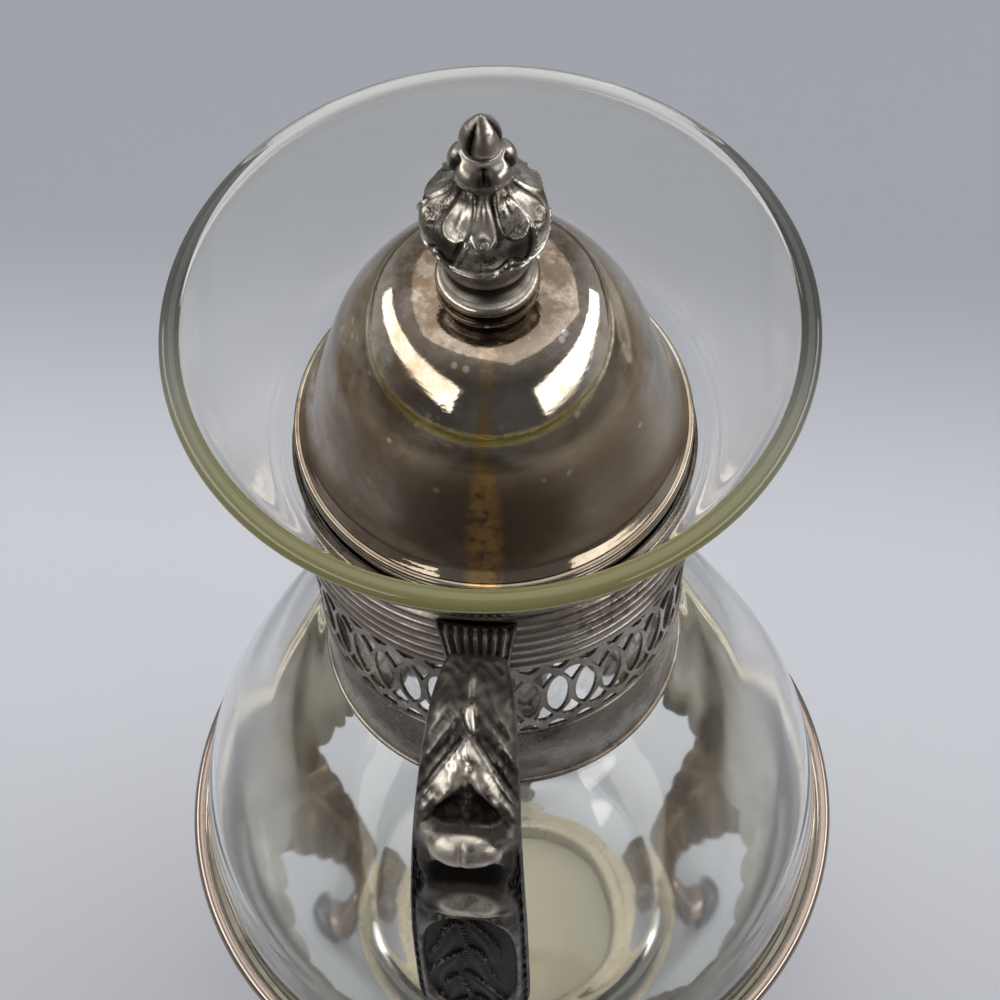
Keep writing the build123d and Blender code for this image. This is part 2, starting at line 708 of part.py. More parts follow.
# Legs: leaf-shaped straps that lie against the gallery, sweep in to the burner bracket and
# out again to the feet. The strap is turned about the axis and trimmed to the leaf's outline.
waist_height = bracket_height - bracket_sheet - bracket_rivet_head - 0.4
leg_ball = gallery_outside + solder_gap + leg_sheet / 2 + 0.15
leg_top = gallery_top - rim_skirt - 3.0
leg_heights = [leg_top, between(gallery_bottom, leg_top, 0.6), gallery_bottom]
leg_line = [(ball_radius(leg_ball, h), h) for h in leg_heights]
foot_centre_height = sqrt(foot_radius**2 - foot_flat_radius**2)
waist_outside = waist_radius + leg_sheet / 2
waist_inside = waist_radius - leg_sheet / 2
waist_low = waist_height - bracket_flap / 2 - 1
waist_high = waist_height + bracket_flap / 2 + 1
leg_line += [
    (between(waist_radius, leg_line[-1][0], 0.68), between(waist_high, gallery_bottom, 0.78)),
    (between(waist_radius, leg_line[-1][0], 0.35), between(waist_high, gallery_bottom, 0.48)),
    (between(waist_radius, leg_line[-1][0], 0.09), between(waist_high, gallery_bottom, 0.18)),
    (waist_radius, waist_high),
]
shin_line = [
    (waist_radius, waist_low),
    (between(waist_radius, foot_circle, 0.10), between(foot_centre_height, waist_low, 0.72)),
    (between(waist_radius, foot_circle, 0.36), between(foot_centre_height, waist_low, 0.40)),
    (foot_circle - foot_radius * 0.55, foot_centre_height + foot_radius * 0.55),
]
leaf_edge = [
    (leaf_half_width - 2, leg_top + 0.5),
    (leaf_half_width, between(gallery_bottom, leg_top, 0.45)),
    (between(leg_half_width, leaf_half_width, 0.72), between(waist_high, gallery_bottom, 0.93)),
    (between(leg_half_width, leaf_half_width, 0.45), between(waist_high, gallery_bottom, 0.68)),
    (between(leg_half_width, leaf_half_width, 0.20), between(waist_high, gallery_bottom, 0.42)),
    (leg_half_width, between(waist_high, gallery_bottom, 0.15)),
]
leg_spread = degrees(asin((leaf_half_width + 2) / ball_radius(leg_ball, gallery_bottom)))
leg_names = ["back", "left", "front_left", "front_right", "right"]
for leg_name, leg_angle in zip(leg_names, leg_angles):
    with BuildPart() as leg:
        with BuildSketch(radial_plane(leg_angle - leg_spread)):
            with BuildLine():
                outer_leg = beside(leg_line, -leg_sheet / 2)
                inner_leg = beside(leg_line, leg_sheet / 2)
                outer_shin = beside(shin_line, -leg_sheet / 2)
                inner_shin = beside(shin_line, leg_sheet / 2)
                outer_leg[-1] = (waist_outside, waist_high)
                inner_leg[-1] = (waist_inside, waist_high)
                outer_shin[0] = (waist_outside, waist_low)
                inner_shin[0] = (waist_inside, waist_low)
                Spline(*outer_leg)
                Line(outer_leg[-1], outer_shin[0])
                Spline(*outer_shin)
                Line(outer_shin[-1], inner_shin[-1])
                Spline(*reversed(inner_shin))
                Line(inner_shin[0], inner_leg[-1])
                Spline(*reversed(inner_leg))
                Line(inner_leg[0], outer_leg[0])
            make_face()
        revolve(axis=Axis.Z, revolution_arc=2 * leg_spread)
        with BuildSketch(facing_plane(leg_angle)):
            with BuildLine():
                Line((-leaf_edge[0][0], leaf_edge[0][1]), leaf_edge[0])
                for upper, lower in zip(leaf_edge, leaf_edge[1:]):
                    SagittaArc(upper, lower, leaf_lobe)
                Line(leaf_edge[-1], (leg_half_width, 0))
                Line((leg_half_width, 0), (-leg_half_width, 0))
                Line((-leg_half_width, 0), (-leaf_edge[-1][0], leaf_edge[-1][1]))
                for upper, lower in zip(leaf_edge, leaf_edge[1:]):
                    SagittaArc((-upper[0], upper[1]), (-lower[0], lower[1]), -leaf_lobe)
            make_face()
        extrude(amount=2 * belly_radius, mode=Mode.INTERSECT)
        with Locations((0, 0, belly_height)):
            Sphere(gallery_outside + solder_gap, mode=Mode.SUBTRACT)
        with BuildSketch(rivet_plane(leg_angle - rivet_spread, gallery_inside)):
            Circle(rivet_radius + screw_play)
        with BuildSketch(rivet_plane(leg_angle + rivet_spread, gallery_inside)):
            Circle(rivet_radius + screw_play)
        extrude(amount=8, mode=Mode.SUBTRACT)
        with BuildSketch(facing_plane(leg_angle, waist_radius - 5, waist_height)):
            Circle(rivet_radius + screw_play)
        extrude(amount=10, mode=Mode.SUBTRACT)
        foot_plane = facing_plane(leg_angle, foot_circle, foot_centre_height)
        with Locations(foot_plane):
            Sphere(foot_radius + solder_gap, mode=Mode.SUBTRACT)
    finish(leg.part, f"leg_{leg_name}")

    with BuildPart() as foot:
        with Locations(foot_plane):
            Sphere(foot_radius)
        with BuildSketch(Plane.XY):
            Rectangle(4 * foot_circle, 4 * foot_circle)
        extrude(amount=-2 * foot_radius, mode=Mode.SUBTRACT)
    finish(foot.part, f"foot_{leg_name}")

# Rivets: flush inside the gallery, with a low round head outside each leg
with BuildPart() as leg_rivets:
    for angle in rivet_angles:
        head_seat = leg_ball + leg_sheet / 2 + 0.25
        with BuildSketch(rivet_plane(angle, gallery_inside)):
            Circle(rivet_flush_radius)
        extrude(amount=gallery_sheet)
        with BuildSketch(rivet_plane(angle, gallery_inside)):
            Circle(rivet_radius)
        extrude(amount=head_seat - gallery_inside)
        with BuildSketch(rivet_plane(angle, head_seat)):
            Circle(rivet_head_radius)
        extrude(amount=1.1, taper=30)
finish(leg_rivets.part, "leg_rivets")

# Burner bracket: a flat ring with five bent flaps, riveted to the waists of the legs
ring_inside = cup_radius + 0.7
ring_outside = waist_inside - solder_gap - bracket_sheet
flap_outside = ring_outside + bracket_sheet
with BuildPart() as burner_bracket:
    with BuildSketch(Plane.XY.offset(bracket_height - bracket_sheet)):
        Circle(ring_outside)
        for leg_angle in leg_angles:
            with Locations(Location((0, 0, 0), (0, 0, leg_angle))):
                with Locations((flap_outside / 2, 0)):
                    Rectangle(flap_outside, 2 * leg_half_width - 1)
        Circle(ring_inside, mode=Mode.SUBTRACT)
    extrude(amount=bracket_sheet)
    for leg_angle in leg_angles:
        with BuildSketch(facing_plane(leg_angle, ring_outside, bracket_height - bracket_flap / 2)):
            Rectangle(2 * leg_half_width - 1, bracket_flap)
        extrude(amount=bracket_sheet)
    with Locations((0, 0, waist_height)):
        Cylinder(flap_outside, 4 * bracket_flap, mode=Mode.INTERSECT)
    for leg_angle in leg_angles:
        with BuildSketch(facing_plane(leg_angle, ring_outside - 1, waist_height)):
            Circle(rivet_radius + screw_play)
    extrude(amount=bracket_sheet + 2, mode=Mode.SUBTRACT)
finish(burner_bracket.part, "burner_bracket")

with BuildPart() as bracket_rivets:
    for leg_angle in leg_angles:
        inner_seat = ring_outside - 0.1
        outer_seat = waist_outside + 0.1
        with BuildSketch(facing_plane(leg_angle, inner_seat, waist_height)):
            Circle(rivet_radius)
        extrude(amount=outer_seat - inner_seat)
        with BuildSketch(facing_plane(leg_angle, outer_seat, waist_height)):
            Circle(bracket_rivet_head)
        extrude(amount=1.0, taper=25)
        with BuildSketch(facing_plane(leg_angle, inner_seat, waist_height)):
            Circle(bracket_rivet_head)
        extrude(amount=-1.0, taper=25)
finish(bracket_rivets.part, "bracket_rivets")

# Burner: a flanged cup that drops into the bracket, with a candle and its wick
flange_bottom = bracket_height + loose_gap - 0.05
cup_floor = flange_bottom - cup_depth
with BuildPart() as burner_cup:
    with BuildSketch(Plane.XZ):
        with BuildLine():
            Polyline(
                (0, cup_floor),
                (cup_radius - 2.5, cup_floor),
                (cup_radius, cup_floor + 2.5),
                (cup_radius, flange_bottom),
                (cup_radius + cup_flange, flange_bottom),
                (cup_radius + cup_flange, flange_bottom + cup_sheet),
                (cup_radius - cup_sheet, flange_bottom + cup_sheet),
                (cup_radius - cup_sheet, cup_floor + 2.8),
                (cup_radius - 2.8, cup_floor + cup_sheet),
                (0, cup_floor + cup_sheet),
                close=True,
            )
        make_face()
    revolve(axis=Axis.Z)
finish(burner_cup.part, "burner_cup")

candle_foot = cup_floor + cup_sheet
candle_top = candle_foot + candle_height
candle_radius = cup_radius - cup_sheet - 0.25
wick_foot = candle_top - wick_length / 2
with BuildPart() as candle:
    with BuildSketch(Plane.XZ):
        with BuildLine():
            wick_hole = wick_radius + screw_play
            Line((0, candle_foot), (candle_radius - 2.4, candle_foot))
            Line((candle_radius - 2.4, candle_foot), (candle_radius, candle_foot + 2.4))
            Line((candle_radius, candle_foot + 2.4), (candle_radius, candle_top))
            candle_dip = (candle_radius / 2, candle_top - 1.2)
            ThreePointArc((candle_radius, candle_top), candle_dip, (wick_hole, candle_top - 1.6))
            Line((wick_hole, candle_top - 1.6), (wick_hole, wick_foot))
            Line((wick_hole, wick_foot), (0, wick_foot))
            Line((0, wick_foot), (0, candle_foot))
        make_face()
    revolve(axis=Axis.Z)
finish(candle.part, "candle")

with BuildPart() as candle_wick:
    with BuildSketch(Plane.XY.offset(wick_foot)):
        Circle(wick_radius)
    extrude(amount=wick_length)
finish(candle_wick.part, "candle_wick")
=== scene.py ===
# %% [markdown]
# # A glass coffee carafe in its warming stand
# The object is a blown glass carafe with a silvered collar and a cast handle, closed by a loose
# domed lid. It stands in a five-legged stand over a candle. The CAD model gives every size and
# place, so the first step is to load it. What follows gives each piece the surface that a
# photograph shows: rounded edges, cast relief, tarnish and clear glass.

# %% Load the CAD model as a frame
import json
import bpy
import bmesh
from math import asin, cos, degrees, exp, hypot, pi, radians, sin, sqrt
from mathutils import Matrix, Vector


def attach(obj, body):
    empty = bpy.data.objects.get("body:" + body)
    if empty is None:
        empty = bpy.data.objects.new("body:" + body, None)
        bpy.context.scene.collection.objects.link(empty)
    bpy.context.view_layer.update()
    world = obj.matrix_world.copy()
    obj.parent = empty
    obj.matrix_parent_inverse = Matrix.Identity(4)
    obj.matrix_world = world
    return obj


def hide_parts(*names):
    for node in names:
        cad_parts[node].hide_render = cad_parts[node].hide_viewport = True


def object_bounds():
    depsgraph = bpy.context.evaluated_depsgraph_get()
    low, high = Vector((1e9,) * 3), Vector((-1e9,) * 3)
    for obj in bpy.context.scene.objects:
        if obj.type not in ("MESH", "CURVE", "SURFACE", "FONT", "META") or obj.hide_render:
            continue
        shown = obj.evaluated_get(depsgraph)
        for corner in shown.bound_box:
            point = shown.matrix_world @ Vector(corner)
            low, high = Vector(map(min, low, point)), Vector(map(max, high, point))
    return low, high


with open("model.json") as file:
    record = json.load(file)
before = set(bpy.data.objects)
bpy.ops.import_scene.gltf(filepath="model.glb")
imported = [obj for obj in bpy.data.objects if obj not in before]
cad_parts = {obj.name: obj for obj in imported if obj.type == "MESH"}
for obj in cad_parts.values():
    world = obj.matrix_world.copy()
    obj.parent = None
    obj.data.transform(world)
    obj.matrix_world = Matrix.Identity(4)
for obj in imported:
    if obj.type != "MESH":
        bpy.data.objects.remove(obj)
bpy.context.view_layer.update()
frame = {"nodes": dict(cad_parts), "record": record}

# %% [markdown]
# ## Helpers for shapes
# Most pieces were turned or spun in a lathe, so one helper turns an outline about the axis. The
# outlines are in millimetres, because that is how a maker would read them, and they become metres
# when the mesh is made. A smooth line through a few points is easier to correct than a long list.

# %% Smooth lines and arcs
MM = 0.001


def smooth_line(points, steps=8):
    """Points of a smooth line through the given ones, whatever number of values each has."""
    line = []
    for i in range(len(points) - 1):
        four = [points[max(i - 1, 0)], points[i], points[i + 1], points[min(i + 2, len(points) - 1)]]
        for step in range(steps):
            t = step / steps
            line.append(tuple(
                0.5 * (2 * b + (c - a) * t + (2 * a - 5 * b + 4 * c - d) * t**2 + (3 * b - a - 3 * c + d) * t**3)
                for a, b, c, d in zip(*four)
            ))
    return line + [tuple(points[-1])]


def arc(centre, radius, start, stop, steps=10):
    """Points of a circle's arc, from one angle to another in degrees."""
    angles = [radians(start + (stop - start) * i / steps) for i in range(steps + 1)]
    return [(centre[0] + radius * cos(a), centre[1] + radius * sin(a)) for a in angles]


def beside(line, distance):
    """A line moved square to itself, to the right of its way for a plus distance."""
    moved = []
    for i, (x, y) in enumerate(line):
        x0, y0 = line[max(i - 1, 0)]
        x1, y1 = line[min(i + 1, len(line) - 1)]
        length = hypot(x1 - x0, y1 - y0) or 1.0
        moved.append((x + distance * (y1 - y0) / length, y - distance * (x1 - x0) / length))
    return moved


def ease(low, high, value):
    """0 below low, 1 above high, and a soft step between them."""
    t = min(1.0, max(0.0, (value - low) / (high - low)))
    return t * t * (3 - 2 * t)


def bump(distance, width):
    """1 in the middle of a rounded ridge, falling to 0 about a width away from it."""
    return exp(-((distance / width) ** 2))


# %% [markdown]
# A mesh is a list of points and a list of faces that name their points. Two helpers write such
# lists: one turns an outline about the axis, as a lathe does, and one joins rings of points into a
# tube, as a skin over ribs. A third makes an object of the lists. It also hangs the piece on its
# body and hides the CAD pieces it stands for.

# %% Turn an outline, join rings, and make a piece
def lathe(outline, turns=180, shape=None):
    """Points and faces of an outline of (distance, height) turned about the vertical axis.
    An outline that starts away from the axis is a closed ring. shape(angle, r, z) can bend it."""
    points, faces, rings = [], [], []
    for r, z in outline:
        if r < 1e-4:
            rings.append([len(points)])
            points.append((0.0, 0.0, z))
            continue
        rings.append(list(range(len(points), len(points) + turns)))
        for i in range(turns):
            a = 2 * pi * i / turns
            far, high = shape(a, r, z) if shape else (r, z)
            points.append((far * cos(a), far * sin(a), high))
    pairs = list(zip(rings, rings[1:]))
    if outline[0][0] >= 1e-4:
        pairs.append((rings[-1], rings[0]))
    for one, two in pairs:
        for i in range(turns):
            j = (i + 1) % turns
            if len(one) == 1:
                faces.append((one[0], two[j], two[i]))
            elif len(two) == 1:
                faces.append((one[i], one[j], two[0]))
            else:
                faces.append((one[i], one[j], two[j], two[i]))
    return points, faces


def loft_rings(rings, closed_ends=True):
    """Points and faces of a tube through rings that have the same number of points."""
    count = len(rings[0])
    points = [p for ring in rings for p in ring]
    faces = []
    for k in range(len(rings) - 1):
        for i in range(count):
            j = (i + 1) % count
            faces.append((k * count + i, k * count + j, (k + 1) * count + j, (k + 1) * count + i))
    if closed_ends:
        faces.append(tuple(range(count)))
        faces.append(tuple((len(rings) - 1) * count + i for i in reversed(range(count))))
    return points, faces


def make_piece(name, shape, body, slot, replaced=(), relief=None, sharp=40):
    """A mesh object in metres that rides on a body and stands for CAD nodes."""
    points, faces = shape
    mesh = bpy.data.meshes.new(name)
    mesh.from_pydata([(x * MM, y * MM, z * MM) for x, y, z in points], [], faces)
    shaper = bmesh.new()
    shaper.from_mesh(mesh)
    bmesh.ops.recalc_face_normals(shaper, faces=shaper.faces)
    shaper.to_mesh(mesh)
    shaper.free()
    mesh.polygons.foreach_set("use_smooth", [True] * len(mesh.polygons))
    mesh.set_sharp_from_angle(angle=radians(sharp))
    if relief:
        heights = mesh.attributes.new("relief", "FLOAT", "POINT")
        heights.data.foreach_set("value", relief)
    piece = bpy.data.objects.new(name, mesh)
    bpy.context.scene.collection.objects.link(piece)
    mesh.materials.append(finishes[slot])
    if replaced:
        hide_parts(*replaced)
    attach(piece, body)
    print(f"{name}: {len(mesh.vertices)} points")
    return piece


# %% [markdown]
# ## Helpers for finishes
# Every finish is made of nodes, so that it has no seams and no pictures. A helper adds a node and
# sets its values; others build what the metals share: soft blotches of tarnish, fine grain, and
# lines that run round the axis like the marks of spinning and polishing.

# %% Node helpers
class Finish:
    """A material and short ways to add nodes to it."""

    def __init__(self, name):
        self.material = bpy.data.materials.new(name)
        self.material.use_nodes = True
        self.tree = self.material.node_tree
        self.shader = self.tree.nodes["Principled BSDF"]
        self.place = self.add("ShaderNodeTexCoord").outputs["Object"]

    def add(self, kind, inputs=None, **settings):
        new = self.tree.nodes.new(kind)
        for name, value in settings.items():
            setattr(new, name, value)
        for name, value in (inputs or {}).items():
            self.feed(new.inputs[name], value)
        return new

    def feed(self, socket, value):
        if isinstance(value, bpy.types.NodeSocket):
            self.tree.links.new(value, socket)
        elif isinstance(value, tuple) and len(value) == 3 and socket.type == "RGBA":
            socket.default_value = (*value, 1.0)
        else:
            socket.default_value = value

    def noise(self, scale, detail=4.0, rough=0.55, place=None):
        values = {"Vector": place or self.place, "Scale": scale, "Detail": detail, "Roughness": rough}
        return self.add("ShaderNodeTexNoise", values).outputs["Fac"]

    def step(self, value, low, high, to_low=0.0, to_high=1.0):
        values = {"Value": value, "From Min": low, "From Max": high, "To Min": to_low, "To Max": to_high}
        return self.add("ShaderNodeMapRange", values, interpolation_type="SMOOTHSTEP").outputs[0]

    def calc(self, operation, a, b=0.5):
        return self.add("ShaderNodeMath", {0: a, 1: b}, operation=operation).outputs[0]

    def plus(self, a, b):
        return self.calc("ADD", a, b)

    def times(self, a, b):
        return self.calc("MULTIPLY", a, b)

    def mix(self, factor, a, b, how="MIX"):
        new = self.add("ShaderNodeMix", data_type="RGBA", blend_type=how)
        self.feed(new.inputs[0], factor)
        self.feed(new.inputs[6], a)
        self.feed(new.inputs[7], b)
        return new.outputs[2]

    def parts(self):
        """x, y and z of the place, in metres."""
        return self.add("ShaderNodeSeparateXYZ", {"Vector": self.place}).outputs

    def height(self):
        return self.parts()[2]

    def from_axis(self, x, y):
        return self.calc("SQRT", self.plus(self.times(x, x), self.times(y, y)))

    def round_place(self):
        """A place that changes quickly along the turned outline and slowly round the axis."""
        x, y, z = self.parts()
        far = self.from_axis(x, y)
        values = {
            "X": self.calc("SUBTRACT", far, z),
            "Y": self.times(self.calc("DIVIDE", x, far), 0.006),
            "Z": self.times(self.calc("DIVIDE", y, far), 0.006),
        }
        return self.add("ShaderNodeCombineXYZ", values).outputs[0]

    def relief(self):
        return self.add("ShaderNodeAttribute", attribute_name="relief").outputs["Fac"]

    def bumps(self, value, strength, distance, normal=None):
        values = {"Height": value, "Strength": strength, "Distance": distance}
        if normal:
            values["Normal"] = normal
        return self.add("ShaderNodeBump", values).outputs[0]

    def set(self, name, value):
        """Gives an input of the shader a value or a link."""
        self.feed(self.shader.inputs[name], value)

    def now(self, name):
        """What feeds an input of the shader so far."""
        return self.shader.inputs[name].links[0].from_socket

    def paint(self, mask, colour):
        """Lays a colour over the present one where the mask is 1."""
        self.set("Base Color", self.mix(mask, self.now("Base Color"), colour))


finishes = {}
print("ways to add to a finish:", ", ".join(name for name in vars(Finish) if name[0] != "_"))

# %% [markdown]
# ## Tarnished silver plate
# Old silver plate is a mirror with a warm grey-brown veil. The veil is thicker in blotches, it is
# thin where a cloth has rubbed, and it holds fine scratches. So the colour of a metallic shader
# goes from pale silver to brown with soft noise, small specks are added on top, and the roughness
# follows the veil. Relief pieces carry a value for how high each point lies: low places are dark.


# %% The silver finishes
def silver(name, bright, veil, dark, rough=(0.10, 0.30), blotch=55.0, specks=0.35, marks=0.12, carved=False):
    """Silver plate with a veil of tarnish. marks is how strong the marks of spinning are."""
    f = Finish(name)
    clouds = f.step(f.noise(blotch, 5.0, 0.62), 0.40, 0.62)
    fine = f.noise(blotch * 14, 4.0, 0.65)
    stain = f.step(f.noise(blotch * 0.6, 4.0, 0.7), 0.50, 0.66)
    colour = f.mix(clouds, bright, veil)
    colour = f.mix(f.times(stain, f.step(fine, 0.35, 0.62, 0.35, 1.0)), colour, dark)
    speck = f.step(f.noise(blotch * 26, 2.0, 0.5), 0.66, 0.72)
    colour = f.mix(f.times(speck, specks), colour, (0.80, 0.78, 0.74))
    wear = f.plus(f.times(clouds, 0.45), f.times(fine, 0.55))
    if carved:
        low = f.step(f.relief(), 0.60, 0.18)
        colour = f.mix(low, colour, dark)
        wear = f.plus(wear, f.times(low, 0.5))
    normal = f.bumps(fine, 0.12, 0.00012)
    if marks:
        rings = f.noise(1500.0, 2.0, 0.5, place=f.round_place())
        colour = f.mix(f.step(rings, 0.35, 0.75, 0.0, marks), colour, dark)
        normal = f.bumps(rings, marks, 0.00005, normal)
    f.set("Base Color", colour)
    f.set("Roughness", f.step(wear, 0.2, 0.9, *rough))
    f.set("Normal", normal)
    f.set("Metallic", 1.0)
    return f


# %% [markdown]
# Each metal is the same recipe with its own tones: pale, veiled and dark. The plain ones need no
# more than that, so a table of values makes them all.

# %% The plain metals
plain_metals = {
    "collar_silver": ("tarnished_collar_silver", (0.34, 0.305, 0.26), (0.20, 0.17, 0.14), (0.075, 0.058, 0.043),
                      (0.26, 0.46), 70.0, 0.2, 0.3),
    "leg_copper": ("worn_copper_leg", (0.36, 0.28, 0.22), (0.22, 0.16, 0.12), (0.07, 0.05, 0.037),
                   (0.26, 0.42), 60.0, 0.1, 0.0, True),
    "foot_iron": ("dark_foot_metal", (0.11, 0.10, 0.10), (0.07, 0.066, 0.066), (0.025, 0.025, 0.025),
                  (0.3, 0.5), 120.0, 0.1, 0.0),
    "clamp_steel": ("plain_clamp_steel", (0.50, 0.49, 0.47), (0.36, 0.34, 0.32), (0.12, 0.11, 0.10),
                    (0.22, 0.4), 200.0, 0.1, 0.0),
}
for slot, values in plain_metals.items():
    finishes[slot] = silver(*values).material
print("plain metals:", sorted(finishes))

# %% [markdown]
# The stand was plated like the lid, but its low parts round the candle are darker, yellower and
# rougher, and its rim has worn to a pinkish brown. Both lie in a known place, so the colour is
# changed by height and by distance from the axis. The rivets are brass, and darker near the top.

# %% The stand's plate and the rivets
stand_plate = silver(
    "polished_stand_silver", (0.62, 0.575, 0.49), (0.45, 0.405, 0.33), (0.27, 0.215, 0.155), (0.08, 0.24), 42.0, 0.0,
    0.10,
)
low_part = stand_plate.step(stand_plate.height(), 0.075, 0.052)
stand_plate.paint(low_part, stand_plate.mix(stand_plate.noise(28.0, 2.0, 0.5), (0.40, 0.35, 0.26), (0.27, 0.23, 0.165)))
x, y, z = stand_plate.parts()
rim_part = stand_plate.step(stand_plate.from_axis(x, y), 0.0716, 0.0728)
stand_plate.paint(rim_part, stand_plate.mix(stand_plate.noise(60.0), (0.37, 0.31, 0.27), (0.25, 0.20, 0.165)))
stand_plate.set("Roughness", stand_plate.plus(stand_plate.now("Roughness"), stand_plate.times(low_part, 0.16)))
finishes["stand_silver"] = stand_plate.material
rivet = silver(
    "dull_rivet_brass", (0.68, 0.45, 0.22), (0.48, 0.30, 0.15), (0.16, 0.10, 0.06), (0.2, 0.4), 200.0, 0.1, 0.0
)
dark_near_top = rivet.step(rivet.height(), 0.060, 0.080)
rivet.paint(dark_near_top, rivet.mix(rivet.noise(300.0), (0.10, 0.085, 0.07), (0.16, 0.13, 0.10)))
finishes["rivet_brass"] = rivet.material
print("stand and rivets:", len(stand_plate.tree.nodes), "and", len(rivet.tree.nodes), "nodes")

# %% [markdown]
# The knob and the handle are castings. Their skin is slightly grainy, which a bump shows well
# enough, since it is finer than the mesh. The handle is nearly black in its hollows and rubbed
# bright on its crests, where a painted highlight is added too, so the value kept on the mesh mixes a
# third, bright metal over the rest.

# %% The castings
knob = silver(
    "cast_finial_silver", (0.52, 0.48, 0.42), (0.26, 0.23, 0.195), (0.035, 0.03, 0.026), (0.20, 0.40), 170.0, 0.4, 0.0,
    True,
)
knob.set("Normal", knob.bumps(knob.noise(520.0, 5.0, 0.62), 0.45, 0.00016))
finishes["finial_cast"] = knob.material
cast = silver(
    "oxidised_handle_casting", (0.19, 0.175, 0.155), (0.085, 0.076, 0.066), (0.014, 0.012, 0.011), (0.30, 0.50), 150.0,
    0.12, 0.0, True,
)
# Rubbed wear and painted highlight: bright metal is laid on the crests, brightest on the roll, the saddle and the
# lobes.
rubbed_crest_and_painted_highlight = cast.times(cast.step(cast.relief(), 0.58, 0.84), cast.step(cast.noise(300.0, 4.0, 0.65), 0.28, 0.52))
cast.paint(rubbed_crest_and_painted_highlight, cast.mix(cast.noise(90.0, 3.0, 0.5), (0.68, 0.64, 0.56), (0.50, 0.455, 0.39)))
cast.set("Normal", cast.bumps(cast.noise(420.0, 5.0, 0.6), 0.5, 0.00022))
finishes["handle_cast"] = cast.material
print("castings:", len(knob.tree.nodes), "and", len(cast.tree.nodes), "nodes")

# %% [markdown]
# The lid has marks of its own: dark brown patches round the knob, a few paler worn places, rust on
# its left, small dried spots, an amber streak down the front and fine slanting scratches. Round the
# knob the patches are darker than tarnish alone, as painted shade that dims the ceiling lamp's
# reflection, and the lower front is painted dark, a painted reflection of the dark side of the room.
# They are painted over the plain finish by where they lie: how far from the axis, how high and on
# which side. A later mark covers an earlier one, so the order matters.

# %% Marks, painted shade and a painted reflection on the lid
lid = silver(
    "tarnished_lid_silver", (0.62, 0.56, 0.47), (0.40, 0.33, 0.25), (0.20, 0.14, 0.09), (0.04, 0.15), 42.0, 0.0, 0.16
)
x, y, z = lid.parts()
grain = lid.noise(420.0, 5.0, 0.7)
# Painted shade, over tarnish: the patches round the knob are made darker, which dims the ceiling lamp's reflection
# there.
top = lid.times(lid.step(lid.from_axis(x, y), 0.0215, 0.0120), lid.step(lid.noise(150.0, 5.0, 0.7), 0.22, 0.52))
left = lid.step(lid.plus(x, lid.times(y, 0.5)), 0.004, -0.022)
rust = lid.times(left, lid.step(lid.noise(85.0, 6.0, 0.72), 0.44, 0.60))
# Painted reflection: the lower front of the dome is painted dark brown, standing in for the dark side of the room that
# it faces.
front = lid.times(lid.step(z, 0.325, 0.304), lid.step(y, 0.004, -0.020))
worn = lid.times(lid.step(z, 0.318, 0.327), lid.step(lid.noise(260.0, 6.0, 0.75), 0.50, 0.60))
cells = lid.add("ShaderNodeTexVoronoi", {"Vector": lid.place, "Scale": 330.0, "Randomness": 1.0}).outputs["Distance"]
spots = lid.times(lid.step(cells, 0.26, 0.16), lid.step(lid.noise(120.0, 2.0, 0.5), 0.54, 0.62))
spots = lid.times(spots, lid.step(z, 0.296, 0.318))
width = lid.times(lid.step(z, 0.328, 0.296, 0.35, 1.0), 0.0042)
aside = lid.calc("DIVIDE", lid.calc("ABSOLUTE", lid.calc("SUBTRACT", x, 0.0012)), width)
streak = lid.times(lid.times(lid.step(aside, 1.0, 0.35), lid.step(y, -0.012, -0.02)), lid.step(grain, 0.34, 0.56))
for mask, strength, colour in (
    (top, 0.9, (0.105, 0.075, 0.052)),
    (rust, 0.6, (0.27, 0.185, 0.11)),
    (front, 0.75, lid.mix(grain, (0.13, 0.10, 0.075), (0.24, 0.195, 0.15))),
    (worn, 0.25, (0.46, 0.42, 0.37)),
    (spots, 0.8, (0.78, 0.76, 0.72)),
    (streak, 0.85, (0.66, 0.43, 0.17)),
):
    lid.paint(lid.times(mask, strength), colour)
slant = lid.add("ShaderNodeMapping", {"Vector": lid.place, "Rotation": (0.5, 0.7, 0.5), "Scale": (60.0, 1800.0, 60.0)})
scratches = lid.step(lid.noise(1.0, 3.0, 0.5, place=slant.outputs[0]), 0.50, 0.75)
lid.set("Normal", lid.bumps(lid.times(scratches, left), 0.12, 0.00003, lid.now("Normal")))
finishes["lid_silver"] = lid.material
print("lid:", len(lid.tree.nodes), "nodes")

# %% [markdown]
# ## Clear glass
# The vessel is soda glass, clear through its thin wall and olive green where the eye looks along
# it, as at the rim. A glass shader bends light, but it also blocks lamps, which would leave a
# black shadow; real glass lets most of the light through. So for shadow rays only, the glass is
# swapped for a clear shader with a light tint. The green is set by height, where the rim is. On the
# handle's side the rim is painted greener and less clear, as painted shade for the thick glass seen
# from that side. The belly is a little rougher than the mouth, so that what stands below it is seen
# softly.

# %% The glass finish
glass = Finish("clear_green_glass")
x, y, z = glass.parts()
rim_green = glass.step(z, 0.3164, 0.3176)
